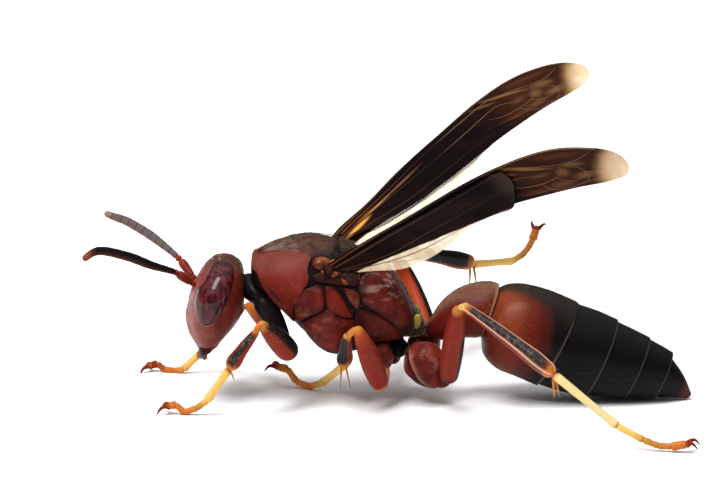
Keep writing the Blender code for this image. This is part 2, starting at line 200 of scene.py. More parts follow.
# small tools for materials
class Finish:
    # one material with its shader; methods add the nodes that finishes share
    def __init__(self, name, roughness=0.4, coat=0.0, sheen=0.0, sheenTint=(1, 0.8, 0.5), specular=0.05):
        self.material = bpy.data.materials.new(name)
        self.material.use_nodes = True
        self.tree = self.material.node_tree
        self.shader = self.tree.nodes["Principled BSDF"]
        self.shader.inputs["Roughness"].default_value = roughness
        self.shader.inputs["Coat Weight"].default_value = coat
        self.shader.inputs["Coat Roughness"].default_value = 0.12
        self.shader.inputs["Sheen Weight"].default_value = sheen
        self.shader.inputs["Sheen Roughness"].default_value = 0.35
        self.shader.inputs["Sheen Tint"].default_value = (*sheenTint, 1)
        self.shader.inputs["Specular IOR Level"].default_value = specular
        coords = self.tree.nodes.new("ShaderNodeTexCoord")
        self.place, self.uv = coords.outputs["Object"], coords.outputs["UV"]
        split = self.tree.nodes.new("ShaderNodeSeparateXYZ")
        self.join(self.uv, split.inputs[0])
        self.u, self.v = split.outputs[0], split.outputs[1]

    def join(self, source, target):
        self.tree.links.new(source, target)

    def noise(self, scale, detail=3.0, stretch=None, roughness=0.55, turn=(0, 0, 0)):
        node = self.tree.nodes.new("ShaderNodeTexNoise")
        node.inputs["Scale"].default_value = scale
        node.inputs["Detail"].default_value = detail
        node.inputs["Roughness"].default_value = roughness
        self.join(self.stretched(stretch, turn) if stretch else self.place, node.inputs["Vector"])
        return node.outputs["Fac"]

    def stretched(self, stretch, turn=(0, 0, 0)):
        node = self.tree.nodes.new("ShaderNodeMapping")
        node.inputs["Scale"].default_value = stretch
        node.inputs["Rotation"].default_value = turn
        self.join(self.place, node.inputs["Vector"])
        return node.outputs[0]

    def cells(self, scale, feature="F1", vector=None):
        node = self.tree.nodes.new("ShaderNodeTexVoronoi")
        node.feature = feature
        node.inputs["Scale"].default_value = scale
        self.join(vector or self.place, node.inputs["Vector"])
        return node.outputs["Distance"]

    def ramp(self, source, stops):
        node = self.tree.nodes.new("ShaderNodeValToRGB")
        node.color_ramp.interpolation = "EASE"
        spots = node.color_ramp.elements
        while len(spots) < len(stops):
            spots.new(0.5)
        for spot, (position, colour) in zip(spots, stops):
            spot.position = position
            spot.color = (*colour, 1) if isinstance(colour, tuple) else (colour, colour, colour, 1)
        self.join(source, node.inputs[0])
        return node.outputs["Color"]

    def math(self, kind, a, b=0.0):
        node = self.tree.nodes.new("ShaderNodeMath")
        node.operation = kind
        for k, value in enumerate((a, b)):
            if isinstance(value, (int, float)):
                node.inputs[k].default_value = value
            else:
                self.join(value, node.inputs[k])
        return node.outputs[0]

    def times(self, a, b):
        return self.math("MULTIPLY", a, b)

    def plus(self, a, b):
        return self.math("ADD", a, b)

    def wobble(self, scale, detail, reach):
        # noise about nought, to make an edge uneven
        return self.times(self.math("SUBTRACT", self.noise(scale, detail), 0.5), reach)

    def level(self, axis, scale=100):
        # place along one axis, 0 to 2, from metres to about one
        split = self.tree.nodes.new("ShaderNodeSeparateXYZ")
        self.join(self.place, split.inputs[0])
        return self.times(split.outputs[axis], scale)

    def mix(self, factor, a, b, blend="MIX"):
        node = self.tree.nodes.new("ShaderNodeMix")
        node.data_type = "RGBA"
        node.blend_type = blend
        for socket, value in ((node.inputs[0], factor), (node.inputs[6], a), (node.inputs[7], b)):
            if isinstance(value, tuple):
                socket.default_value = (*value, 1)
            elif isinstance(value, (int, float)):
                socket.default_value = value
            else:
                self.join(value, socket)
        return node.outputs[2]

    def bump(self, height, distance, strength=1.0):
        node = self.tree.nodes.new("ShaderNodeBump")
        node.inputs["Strength"].default_value = strength
        node.inputs["Distance"].default_value = distance * mm
        previous = self.shader.inputs["Normal"].links
        if previous:
            self.join(previous[0].from_socket, node.inputs["Normal"])
        self.join(height, node.inputs["Height"])
        self.join(node.outputs[0], self.shader.inputs["Normal"])

    def colour(self, source):
        self.join(source, self.shader.inputs["Base Color"])

    def tint(self, share, tone):
        # a tone laid over the colour so far
        self.colour(self.mix(share, self.shader.inputs["Base Color"].links[0].from_socket, tone))


def chitin(name, dark, light, pits=0.5, down=0.25, roughness=0.36, coat=0.25, grain=11000, bloom=0.0):
    # hard wasp skin: mottled colour, small pits, a dusting of short down and a pale bloom in patches
    finish = Finish(name, roughness, coat * 0.10, down * 0.03)
    patchy = finish.noise(1100, 4)
    fine = finish.noise(9000, 3)
    base = finish.ramp(patchy, [(0.32, dark), (0.68, light)])
    base = finish.mix(finish.times(fine, 0.35), base, tuple(0.35 * c for c in dark))
    if bloom:
        dusty = finish.ramp(finish.noise(1500, 6, roughness=0.75), [(0.50, 0.0), (0.74, 1.0)])
        base = finish.mix(finish.times(dusty, bloom), base, (0.34, 0.20, 0.155))
    finish.colour(base)
    finish.join(finish.ramp(fine, [(0.3, roughness - 0.08), (0.7, roughness + 0.14)]),
                finish.shader.inputs["Roughness"])
    pitting = finish.ramp(finish.cells(grain), [(0.0, 0.0), (0.42, 1.0)])
    finish.bump(pitting, 0.012, pits)
    finish.bump(finish.noise(3200, 3), 0.02, 0.35)
    return finish


# curved body forms that plates are laid on
class Skin:
    # a soft closed form from rows of place, low side, high side and half width along x or z
    def __init__(self, rows, power, along):
        self.rows = smoothRows(sorted(rows), 260)
        self.power, self.along = power, along

    def across(self, place):
        return [np.interp(place, self.rows[:, 0], self.rows[:, k]) for k in (1, 2, 3)]

    def width(self, x, z):
        place, other = (x, z) if self.along == "x" else (z, x)
        low, high, half = self.across(place)
        inside = np.clip(1 - (np.abs(other - (low + high) / 2) / ((high - low) / 2)) ** self.power, 0, 1)
        return half * inside ** (1 / self.power)

    def fromSide(self, side):
        # (x, height as seen a little from above) laid on the skin's flank
        def place(flat):
            x, seen = flat[..., 0], flat[..., 1]
            levels = np.linspace(-1.0, 9.0, 900).reshape((-1,) + (1,) * x.ndim)
            heights = levels - viewTilt * self.width(x[None], levels)
            below = heights <= seen[None]
            top = len(levels) - 1 - np.argmax(below[::-1], axis=0)
            top = np.clip(top, 0, len(levels) - 2)
            low = np.take_along_axis(heights, top[None], 0)[0]
            high = np.take_along_axis(heights, top[None] + 1, 0)[0]
            share = np.clip((seen - low) / np.maximum(high - low, 1e-6), 0, 1)
            z = levels.ravel()[top] + share * (levels.ravel()[1] - levels.ravel()[0])
            y = side * self.width(x, z)
            slopeX = (self.width(x + nudge, z) - self.width(x - nudge, z)) / (2 * nudge)
            slopeZ = (self.width(x, z + nudge) - self.width(x, z - nudge)) / (2 * nudge)
            normal = unit(np.stack((-slopeX, side * np.ones_like(x), -slopeZ), -1))
            return np.stack((x, y, z), -1), normal
        return place

    def onTop(self):
        # (x, y) laid on the skin from above
        def top(x, y):
            low, high, half = self.across(x)
            inside = np.clip(1 - (np.abs(y) / half) ** self.power, 0, 1)
            return (low + high) / 2 + (high - low) / 2 * inside ** (1 / self.power)

        def place(flat):
            x, y = flat[..., 0], flat[..., 1]
            slopeX = (top(x + nudge, y) - top(x - nudge, y)) / (2 * nudge)
            slopeY = (top(x, y + nudge) - top(x, y - nudge)) / (2 * nudge)
            return np.stack((x, y, top(x, y)), -1), unit(np.stack((-slopeX, -slopeY, np.ones_like(x)), -1))
        return place


def plateShape(place, outline, lift=0.08, dome=0.0, sink=0.12, bevel=0.16, count=96, centre=None, power=2.0):
    # a closed pillow on a body form; u is the share of the way out to its rim
    rim = smoothRows(outline, count, closed=True)
    middle = rim.mean(0) if centre is None else np.array(centre, float)
    inner = np.linspace(0.03, 1 - bevel, 12)
    outer = 1 - bevel + bevel * np.sin(np.linspace(0, math.pi / 2, 8)[1:])
    shares = np.concatenate((inner, outer, [1.0, 0.9, 0.4, 0.03]))
    edge = np.clip((shares - (1 - bevel)) / bevel, 0, 1)
    heights = lift * np.sqrt(np.clip(1 - edge**2, 0, 1)) + dome * np.clip(1 - shares**power, 0, 1)
    heights[-4:] = (-sink * 0.6, -sink, -sink, -sink)
    flat = middle + shares[:, None, None] * (rim - middle)
    points, normals = place(flat)
    turn = np.linspace(0, 1, count, endpoint=False)
    uv = np.stack(np.broadcast_arrays(shares[:, None], turn[None, :]), -1)
    return sweptShape(points + normals * heights[:, None, None], uv)


# colours shared by several pieces
tones = dict(
    red=(0.21, 0.016, 0.007), deepRed=(0.085, 0.006, 0.004), brightRed=(0.34, 0.036, 0.010),
    orange=(0.52, 0.15, 0.022), amber=(0.50, 0.20, 0.04), yellow=(0.84, 0.50, 0.13),
    paleYellow=(0.82, 0.60, 0.27), black=(0.003, 0.0025, 0.003), grey=(0.016, 0.013, 0.013),
    # the last two tones are brighter copies of yellow and amber: painted light on a foot that stands in shade
    # under the body
    brown=(0.05, 0.014, 0.007), cream=(0.78, 0.64, 0.42), paintedLitYellow=(1.0, 0.62, 0.17), paintedLitAmber=(0.92, 0.34, 0.055),
)


# floor, camera and lights
setting = dict(
    lookAt=(0.0, 0.0, 6.45), distance=180.0, elevation=12.5, lens=229.5,
    floorSize=6000.0, floorTones=((0.93, 0.93, 0.935), (0.95, 0.95, 0.955)), background=1.0,
    softboxPlace=(-50, -74, 180), softboxAim=(0, 0, 3), softboxSize=(68, 140), softboxPower=0.50,
    sunFrom=(-0.42, -0.50, 0.90), sunPower=0.40, sunSpread=38.0,
    sky=[(0.0, 0.10), (0.40, 0.15), (0.70, 0.80), (0.92, 1.25)],  # how bright the room is from the horizon up
)


def makeCamera():
    camera = bpy.data.objects.new("camera", bpy.data.cameras.new("camera"))
    up = math.radians(setting["elevation"])
    back = np.array((0, -math.cos(up), math.sin(up))) * setting["distance"]
    camera.location = Vector((np.array(setting["lookAt"]) + originShift + back) * mm)
    camera.rotation_euler = (math.pi / 2 - up, 0, 0)
    camera.data.lens = setting["lens"]
    camera.data.sensor_width = 36
    camera.data.clip_start = 0.001
    camera.data.clip_end = 100
    bpy.context.scene.collection.objects.link(camera)
    bpy.context.scene.camera = camera


def makeFloor():
    half = setting["floorSize"] / 2 * mm
    mesh = bpy.data.meshes.new("floor")
    mesh.from_pydata([(-half, -half, 0), (half, -half, 0), (half, half, 0), (-half, half, 0)], [],
                     [(0, 1, 2, 3)])
    floor = bpy.data.objects.new("floor", mesh)
    bpy.context.scene.collection.objects.link(floor)
    finish = Finish("floorPaper", roughness=0.9, specular=0.0)
    finish.colour(finish.ramp(finish.noise(40, 2), list(zip((0.3, 0.7), setting["floorTones"]))))
    mesh.materials.append(finish.material)


def addLamp(name, kind, power, place, aim=(0, 0, 0)):
    light = bpy.data.lights.new(name, kind)
    light.energy = power
    lamp = bpy.data.objects.new(name, light)
    lamp.location = Vector(place) * mm
    lamp.rotation_euler = (Vector(aim) - Vector(place)).to_track_quat("-Z", "Y").to_euler()
    bpy.context.scene.collection.objects.link(lamp)
    return light


def makeLights():
    world = bpy.data.worlds.new("studio")
    bpy.context.scene.world = world
    world.use_nodes = True
    nodes, links = world.node_tree.nodes, world.node_tree.links
    soft = nodes["Background"]
    coords = nodes.new("ShaderNodeTexCoord")
    split = nodes.new("ShaderNodeSeparateXYZ")
    glow = nodes.new("ShaderNodeValToRGB")
    while len(glow.color_ramp.elements) < len(setting["sky"]):
        glow.color_ramp.elements.new(0.5)
    for spot, (position, level) in zip(glow.color_ramp.elements, setting["sky"]):
        spot.position = position
        spot.color = (level, level, level, 1)
    links.new(coords.outputs["Generated"], split.inputs[0])
    links.new(split.outputs["Z"], glow.inputs[0])
    links.new(glow.outputs["Color"], soft.inputs["Color"])
    white = nodes.new("ShaderNodeBackground")
    white.inputs["Strength"].default_value = setting["background"]
    white.inputs["Color"].default_value = (1, 1, 1, 1)
    path = nodes.new("ShaderNodeLightPath")
    mixed = nodes.new("ShaderNodeMixShader")
    links.new(path.outputs["Is Camera Ray"], mixed.inputs[0])
    links.new(soft.outputs[0], mixed.inputs[1])
    links.new(white.outputs[0], mixed.inputs[2])
    links.new(mixed.outputs[0], nodes["World Output"].inputs["Surface"])
    softbox = addLamp("keySoftbox", "AREA", setting["softboxPower"], setting["softboxPlace"],
                      setting["softboxAim"])
    softbox.shape = "RECTANGLE"
    softbox.size, softbox.size_y = (side * mm for side in setting["softboxSize"])
    sun = addLamp("evenLight", "SUN", setting["sunPower"], setting["sunFrom"])
    sun.angle = math.radians(setting["sunSpread"])
    bpy.context.scene.view_settings.view_transform = "Standard"


makeCamera()
makeFloor()
makeLights()
print("camera, floor and lights made")


# head
headSizes = dict(
    rings=[  # height, front, back, half width
        (2.10, -6.20, -5.75, 0.50), (2.20, -6.40, -5.60, 0.80), (2.45, -6.48, -5.44, 1.20),
        (2.80, -6.62, -5.16, 1.60), (3.20, -6.72, -4.84, 1.92), (3.63, -6.76, -4.60, 2.12),
        (4.10, -6.68, -4.54, 2.20), (4.50, -6.58, -4.52, 2.18), (4.90, -6.42, -4.53, 2.02),
        (5.26, -6.22, -4.58, 1.74), (5.50, -6.06, -4.68, 1.36), (5.66, -5.82, -4.85, 0.92),
        (5.74, -5.60, -5.00, 0.55), (5.77, -5.40, -5.15, 0.20),
    ],
    power=2.2, rows=120, columns=144,
    antennaSpots=(-6.55, 0.50, 4.85), clypeus=(3.10, 0.85, 0.12),
)
eyeSizes = dict(
    outline=[  # along the body, height
        (-5.35, 5.58), (-5.70, 5.48), (-5.90, 5.10), (-6.02, 4.78), (-6.30, 4.40), (-6.43, 3.88),
        (-6.36, 3.36), (-6.20, 3.08), (-6.00, 2.99), (-5.70, 3.10), (-5.35, 3.60), (-5.08, 4.27),
        (-4.96, 4.86), (-4.92, 5.26), (-5.04, 5.50),
    ],
    bulge=0.24, lift=0.05, farDrop=0.26,
)
headSkin = Skin(headSizes["rings"], headSizes["power"], "z")


def headShape():
    rows = smoothRows(sorted(headSizes["rings"]), headSizes["rows"])
    angles = fullTurn(headSizes["columns"])
    c, s = rounded(angles, 2 / headSizes["power"])
    z, front, back, half = (rows[:, k][:, None] for k in range(4))
    x = (front + back) / 2 + (back - front) / 2 * c[None, :]
    y = half * s[None, :]
    face = np.clip((-5.75 - x) / 0.7, 0, 1)
    level, reach, push = headSizes["clypeus"]
    shield = np.exp(-((y / reach) ** 4) - (((z - level) / 0.72) ** 4))
    x = x - face * push * shield
    _, spotY, spotZ = headSizes["antennaSpots"]
    for side in (-1, 1):
        away = np.sqrt((y - side * spotY) ** 2 + (z - spotZ) ** 2)
        x = x + face * (0.16 * np.exp(-((away / 0.24) ** 2)) - 0.05 * np.exp(-(((away - 0.34) / 0.08) ** 2)))
    x = x - face * 0.07 * np.exp(-((y / 0.22) ** 2) - (((z - 4.35) / 0.5) ** 2))
    uv = np.stack(np.broadcast_arrays(angles[None, :] / (2 * math.pi), (z - 2.1) / 3.67), -1)
    return sweptShape(np.stack((x, y, z * np.ones_like(x)), -1), uv)


def headFinish():
    finish = chitin("headRed", (0.095, 0.009, 0.006), (0.19, 0.022, 0.014), pits=0.35, down=0.3, coat=0.3,
                    bloom=0.25)
    finish.tint(finish.ramp(finish.v, [(0.84, 0.0), (0.96, 0.8)]), (0.040, 0.018, 0.012))  # dusky crown
    # a mottled pale pink over the front of the face: painted highlight
    front = finish.ramp(finish.plus(finish.level(0, -100), -0.35), [(0.30, 0.0), (0.46, 0.6)])
    mottle = finish.ramp(finish.noise(1500, 5, roughness=0.65), [(0.34, 0.55), (0.66, 1.0)])
    finish.tint(finish.times(front, mottle), (0.36, 0.13, 0.11))
    return finish.material


def eyeFinish():
    # deep maroon facets, paler and mauve below as a painted reflection of the pale floor, with a pale rim
    finish = Finish("eyeMaroon", roughness=0.35, coat=0.36, specular=0.03)
    finish.shader.inputs["Coat Roughness"].default_value = 0.09
    # paler mauve low on the eye, darker maroon above: the lower part is a painted reflection of the pale
    # floor
    shade = finish.ramp(finish.level(2), [(0.34, (0.034, 0.009, 0.013)), (0.44, (0.020, 0.002, 0.004))])
    banded = finish.noise(5600, 3, (1, 1, 0.22))
    mottled = finish.mix(finish.ramp(banded, [(0.42, 0.0), (0.58, 0.9)]), shade, (0.085, 0.012, 0.014))
    groove = finish.ramp(finish.u, [(0.86, 0.0), (0.90, 0.85), (0.93, 0.85), (0.945, 0.0)])
    lined = finish.mix(groove, mottled, (0.006, 0.003, 0.004))
    rim = finish.ramp(finish.u, [(0.945, 0.0), (0.965, 1.0)])
    finish.colour(finish.mix(rim, lined, (0.20, 0.055, 0.04)))
    facets = finish.cells(24000, "DISTANCE_TO_EDGE")
    finish.bump(finish.ramp(facets, [(0.0, 0.0), (0.2, 1.0)]), 0.004, 0.5)
    return finish.material


makePiece("headCapsule", headShape(), headFinish(), ["head_capsule"])
eyeMaroon = eyeFinish()
for side, label in sideNames.items():
    drop = eyeSizes["farDrop"] if side > 0 else 0.0
    outline = [(x, v - drop * min(max((v - 4.8) / 0.8, 0), 1)) for x, v in eyeSizes["outline"]]
    dome = plateShape(headSkin.fromSide(side), outline, lift=eyeSizes["lift"], dome=eyeSizes["bulge"],
                      bevel=0.1,
                      count=120, power=2.6)
    makePiece("compoundEye_" + label, dome, eyeMaroon, ["compound_eye_" + label])

jawSizes = dict(
    root=(-5.76, 0.86, 2.90), bend=(-6.08, 0.72, 2.32), tip=(-6.26, 0.24, 1.80),
    girth=(0.24, 0.36, 0.27, 0.13),
    tooth=(-6.32, 0.26, 1.86), toothGirth=(0.10, 0.08, 0.03), teeth=3,
)
jawFinish = chitin("jawRed", (0.05, 0.006, 0.005), (0.18, 0.018, 0.01), pits=0.2, down=0.0, roughness=0.3)
jawFinish.bump(jawFinish.noise(2600, 2, (1, 1, 6)), 0.02, 0.8)
jawFinish.tint(jawFinish.ramp(jawFinish.v, [(0.22, 1.0), (0.34, 0.0)]), (0.30, 0.085, 0.065))  # pale root
jawFinish.tint(jawFinish.ramp(jawFinish.v, [(0.32, 0.0), (0.44, 0.95), (0.62, 0.95), (0.8, 0.6)]),
               (0.02, 0.004, 0.004))
for side, label in sideNames.items():
    flip = np.array((1, side, 1))
    route = [np.array(jawSizes[k]) * flip for k in ("root", "bend", "tip")]
    shapes = [limbShape(route, jawSizes["girth"], flat=0.72)]
    for k in range(jawSizes["teeth"]):
        start = np.array(jawSizes["tooth"]) * flip + np.array((0.11, 0, -0.04)) * k
        shapes.append(limbShape([start, start + np.array((-0.06, -0.18, -0.14)) * flip],
                                jawSizes["toothGirth"], 14, 10))
    makePiece("mandible_" + label, joined(shapes), jawFinish.material, ["mandible_" + label])

lipFinish = chitin("lipRed", (0.10, 0.012, 0.008), (0.22, 0.03, 0.014), pits=0.2, down=0.2)
lip = joined([blob((-6.28, 0, 2.24), (0.16, 0.5, 0.12), 30), blob((-6.02, 0, 2.06), (0.2, 0.32, 0.2), 10)])
makePiece("labrum", lip, lipFinish.material)

ocelliFinish = Finish("ocelliAmber", roughness=0.08, coat=1.0)
amberGlass = [(0.3, (0.05, 0.012, 0.006)), (0.7, (0.16, 0.04, 0.012))]
ocelliFinish.colour(ocelliFinish.ramp(ocelliFinish.noise(4000, 2), amberGlass))
ocelliSpots = [(-5.78, 0.0, 5.66), (-5.50, -0.28, 5.72), (-5.50, 0.28, 5.72)]
makePiece("ocelli", joined([blob(spot, (0.12, 0.12, 0.09), -20) for spot in ocelliSpots]),
          ocelliFinish.material)
print("head made")


# antennae
antennaSizes = dict(
    left=[(-6.58, -0.50, 4.84), (-7.14, -0.94, 5.34), (-7.48, -1.30, 5.54), (-8.16, -1.80, 5.86),
          (-8.98, -2.30, 6.30), (-10.06, -2.90, 6.66), (-10.68, -3.20, 6.38)],
    right=[(-6.58, 0.50, 4.84), (-7.10, 1.06, 5.42), (-7.56, 1.52, 5.72), (-8.34, 2.30, 6.14),
           (-9.24, 3.00, 6.52), (-9.80, 3.24, 6.68), (-10.20, 3.40, 6.80)],
    scape=(0.12, 0.16, 0.18, 0.16), pedicel=(0.10, 0.14, 0.12),
    flagellum=(0.12, 0.15, 0.18, 0.18, 0.17, 0.13),
    rings=10, socket=0.13,
)


def flagellumFinish(name, back, belly, tip):
    finish = Finish(name, roughness=0.55, sheen=0.01, sheenTint=(0.9, 0.7, 0.5), specular=0.05)
    side = finish.ramp(finish.u, [(0.42, back), (0.72, belly)])
    toned = finish.mix(finish.ramp(finish.v, [(0.86, 0.0), (0.97, 1.0)]), side, tip)
    rings = finish.math("FRACT", finish.times(finish.v, antennaSizes["rings"]))
    joint = finish.ramp(rings, [(0.0, 0.75), (0.10, 0.0), (0.9, 0.0), (1.0, 0.75)])
    finish.colour(finish.mix(joint, toned, (0.006, 0.004, 0.004)))
    finish.bump(finish.noise(16000, 3), 0.006, 0.5)
    return finish.material


def swell(t):
    # each ring of the flagellum is fullest near its outer end
    part = (t * antennaSizes["rings"]) % 1.0
    return 0.97 + 0.05 * np.sin(math.pi * np.clip(part, 0, 1) ** 0.8)


scapeFinish = chitin("scapeRed", (0.12, 0.014, 0.008), (0.26, 0.035, 0.014), pits=0.2, down=0.15)
flagellumFinishes = dict(
    left=flagellumFinish("flagellumBlack", (0.0045, 0.0035, 0.0035), (0.042, 0.012, 0.006),
                         (0.16, 0.045, 0.015)),
    # the far antenna takes lighter grey tones than the near one: painted light
    right=flagellumFinish("flagellumGreyPaintedLight", (0.085, 0.065, 0.060), (0.20, 0.09, 0.07), (0.22, 0.12, 0.08)),
)
for side, label in sideNames.items():
    route = [np.array(p) for p in antennaSizes[label]]
    bend = route[2] - route[1]
    middle = (route[0] + route[1]) / 2 + np.array((0.02, 0, -0.03))
    scape = limbShape([route[0], middle, route[1]], antennaSizes["scape"], 40, 20)
    start = route[1] + bend * 0.16
    pedicel = limbShape([route[1] - bend * 0.06, start + bend * 0.16], antennaSizes["pedicel"], 20, 16)
    socket = blob(route[0] + np.array((0.03, 0, -0.02)), (antennaSizes["socket"],) * 3)
    makePiece("antennaScape_" + label, joined([scape, pedicel, socket]), scapeFinish.material,
              ["antenna_scape_" + label])
    whip = limbShape([start + bend * 0.1] + route[2:], antennaSizes["flagellum"], 200, 24, ripple=swell)
    makePiece("antennaFlagellum_" + label, whip, flagellumFinishes[label], ["antenna_flagellum_" + label])
print("antennae made")


# thorax
trunkSizes = dict(
    stations=[  # along the body, top, bottom, half width
        (-4.26, 5.78, 5.02, 1.10), (-3.96, 5.94, 4.66, 1.62), (-3.40, 6.24, 4.10, 1.96),
        (-2.70, 6.50, 3.36, 2.12), (-2.04, 6.60, 2.66, 2.18), (-1.40, 6.54, 2.06, 2.18),
        (-0.80, 6.36, 1.90, 2.14), (-0.10, 6.08, 2.04, 2.02), (0.50, 5.80, 2.36, 1.86),
        (1.10, 5.34, 2.50, 1.62), (1.70, 4.58, 2.58, 1.26), (2.20, 3.72, 2.60, 0.82),
        (2.52, 3.22, 2.68, 0.40),
    ],
    power=2.15, inset=0.97, rows=140, columns=96,
)
trunkSkin = Skin([(x, low, high, half) for x, high, low, half in trunkSizes["stations"]], trunkSizes["power"],
                 "x")
plateOutlines = dict(
    pronotum=[(-4.22, 5.82), (-4.19, 5.34), (-3.99, 5.10), (-3.80, 4.66), (-3.49, 4.19), (-3.10, 3.75),
              (-2.75, 3.39), (-2.56, 3.20), (-2.60, 3.47), (-2.56, 3.75), (-2.40, 4.03), (-2.21, 4.43),
              (-1.98, 4.82), (-2.02, 5.18), (-1.98, 5.46), (-1.90, 5.78), (-2.33, 5.89), (-2.67, 5.97),
              (-3.18, 5.97), (-3.57, 5.93), (-3.91, 5.85)],
    frontSide=[(-2.17, 4.43), (-1.86, 4.55), (-1.67, 4.62), (-1.51, 4.50), (-1.43, 4.23), (-1.43, 3.75),
               (-1.59, 3.59), (-1.90, 3.47), (-2.25, 3.31), (-2.44, 3.27), (-2.52, 3.59), (-2.48, 3.91),
               (-2.33, 4.23)],
    rearSide=[(-1.28, 4.55), (-0.93, 4.43), (-0.66, 4.07), (-0.39, 3.59), (-0.31, 3.39), (-0.58, 3.36),
              (-0.93, 3.51), (-1.20, 3.67), (-1.32, 4.07)],
    lowSide=[(-2.17, 3.08), (-1.86, 3.31), (-1.47, 3.51), (-1.16, 3.63), (-0.89, 3.39), (-0.58, 3.27),
             (-0.27, 3.24), (-0.15, 2.96), (-0.19, 2.48), (-0.58, 1.93), (-0.85, 1.93), (-1.24, 2.00),
             (-1.63, 2.24), (-1.98, 2.64)],
    wingRoot=[(-1.86, 4.98), (-1.50, 5.16), (-0.90, 5.10), (-0.40, 5.14), (-0.06, 5.00), (-0.12, 4.66),
              (-0.60, 4.64), (-1.20, 4.72), (-1.62, 4.78)],
    highMeta=[(-0.62, 4.50), (-0.31, 4.47), (-0.04, 4.27), (-0.04, 3.87), (-0.12, 3.67), (-0.39, 3.99),
              (-0.54, 4.23)],
    lowMeta=[(-0.04, 3.59), (0.39, 3.55), (0.78, 3.39), (1.24, 3.08), (1.55, 2.80), (1.67, 2.48),
             (1.47, 2.24), (0.78, 2.24), (0.08, 2.48), (-0.12, 3.08)],
    propodeum=[(0.00, 4.55), (0.12, 5.02), (0.45, 5.40), (0.92, 5.46), (1.34, 5.06), (1.66, 4.50),
               (1.92, 3.91), (2.04, 3.36), (1.90, 2.88), (1.55, 2.84), (1.16, 3.20), (0.70, 3.51),
               (0.31, 3.75), (0.12, 3.95)],
)
backHalfWidths = dict(  # along the body, half width from above
    scutum=[(-3.92, 0.40), (-3.60, 1.00), (-3.20, 1.35), (-2.60, 1.55), (-2.00, 1.62), (-1.50, 1.60),
            (-1.00, 1.30), (-0.88, 0.60)],
    scutellum=[(-0.84, 0.60), (-0.76, 0.92), (-0.45, 0.98), (-0.16, 0.86), (-0.04, 0.50)],
    metanotum=[(-0.02, 0.60), (0.08, 1.02), (0.24, 1.02), (0.34, 0.60)],
)


def trunkShape():
    rows = trunkSkin.rows[:: max(1, len(trunkSkin.rows) // trunkSizes["rows"])]
    angles = fullTurn(trunkSizes["columns"])
    c, s = rounded(angles, 2 / trunkSizes["power"])
    x, low, high, half = (rows[:, k][:, None] for k in range(4))
    inset = trunkSizes["inset"]
    z = (low + high) / 2 + (high - low) / 2 * inset * c[None, :]
    y = half * inset * s[None, :]
    uv = np.stack(np.broadcast_arrays(angles[None, :] / (2 * math.pi), (x + 4.26) / 6.78), -1)
    return sweptShape(np.stack((x * np.ones_like(y), y, z), -1), uv)


def backOutline(name):
    halves = backHalfWidths[name]
    return [(x, -y) for x, y in halves] + [(x, y) for x, y in reversed(halves)]


def sidePlates(*names, spread=1.0, **look):
    # the named plates on both flanks, joined
    shapes = []
    for side in (-1, 1):
        for name in names:
            outline = np.array(plateOutlines[name])
            centre = np.array((-2.95, 4.95)) if name == "pronotum" else outline.mean(0)
            wider = centre + (outline - centre) * spread
            shapes.append(plateShape(trunkSkin.fromSide(side), wider, centre=centre, **look))
    return joined(shapes)


def topPlate(name, **look):
    return plateShape(trunkSkin.onTop(), backOutline(name), **look)


neckFinish = chitin("neckBlack", (0.003, 0.003, 0.004), (0.009, 0.008, 0.010), pits=0.3, down=0.1,
                    roughness=0.32,
                    coat=0.3)
seamFinish = chitin("seamBlack", (0.004, 0.003, 0.003), (0.016, 0.005, 0.004), pits=0.6, down=0.1,
                    roughness=0.5,
                    coat=0.1)
plateFinish = chitin("plateRed", (0.065, 0.005, 0.004), (0.17, 0.014, 0.008), pits=0.55, down=0.35, coat=0.3,
                     bloom=0.32)
collarFinish = chitin("collarRed", (0.085, 0.006, 0.003), (0.165, 0.013, 0.006), pits=0.45, down=0.3,
                      coat=0.1,
                      roughness=0.5, bloom=0.12)
plateFinish.tint(plateFinish.ramp(plateFinish.u, [(0.62, 0.0), (0.98, 0.75)]),
                 (0.022, 0.003, 0.003))  # dark rims
collarFinish.tint(collarFinish.ramp(collarFinish.level(2), [(0.50, 0.0), (0.60, 0.5)]), (0.14, 0.045, 0.035))
rootFinish = chitin("wingRootBrown", (0.004, 0.002, 0.002), (0.050, 0.010, 0.006), pits=1.0, down=0.2,
                    bloom=0.1)


def rearFinish():
    # combed silver high on the rear plates, over cross ridges
    finish = chitin("rearRed", (0.040, 0.004, 0.003), (0.13, 0.012, 0.008), pits=0.75, down=0.4, bloom=0.16)
    combed = finish.ramp(finish.noise(5600, 3, (0.15, 0.6, 1), turn=(0, 0.75, 0)),
                         [(0.50, 0.0), (0.68, 0.32)])
    high = finish.ramp(finish.level(2), [(0.38, 0.0), (0.50, 1.0)])
    finish.tint(finish.times(combed, high), (0.36, 0.26, 0.21))
    finish.tint(finish.ramp(finish.u, [(0.60, 0.0), (0.98, 0.8)]), (0.018, 0.003, 0.003))
    ridges = finish.cells(5200, vector=finish.stretched((0.35, 1, 1), (0, 0.7, 0)))
    finish.bump(finish.ramp(ridges, [(0.1, 0.0), (0.5, 1.0)]), 0.02, 0.35)
    return finish.material


def scutumFinish():
    # grey black with ruddy patches, pale toward the front in patches as a painted sheen on the down, dark at
    # its border
    finish = chitin("scutumGrey", (0.006, 0.004, 0.003), (0.024, 0.016, 0.012), pits=0.5, down=1.4,
                    roughness=0.5,
                    coat=0.1)
    finish.tint(finish.ramp(finish.noise(420, 2), [(0.50, 0.0), (0.64, 0.45)]), (0.09, 0.012, 0.008))
    # pale grey-beige toward the front, in patches: a painted sheen of light on the down
    forward = finish.ramp(finish.plus(finish.level(0), 0.6), [(0.10, 0.6), (0.34, 0.08)])
    patchy = finish.ramp(finish.noise(2200, 6, roughness=0.7), [(0.40, 0.1), (0.62, 1.0)])
    finish.tint(finish.times(forward, patchy), (0.22, 0.18, 0.13))
    finish.tint(finish.ramp(finish.u, [(0.84, 0.0), (0.95, 0.9)]), (0.006, 0.004, 0.004))
    return finish.material


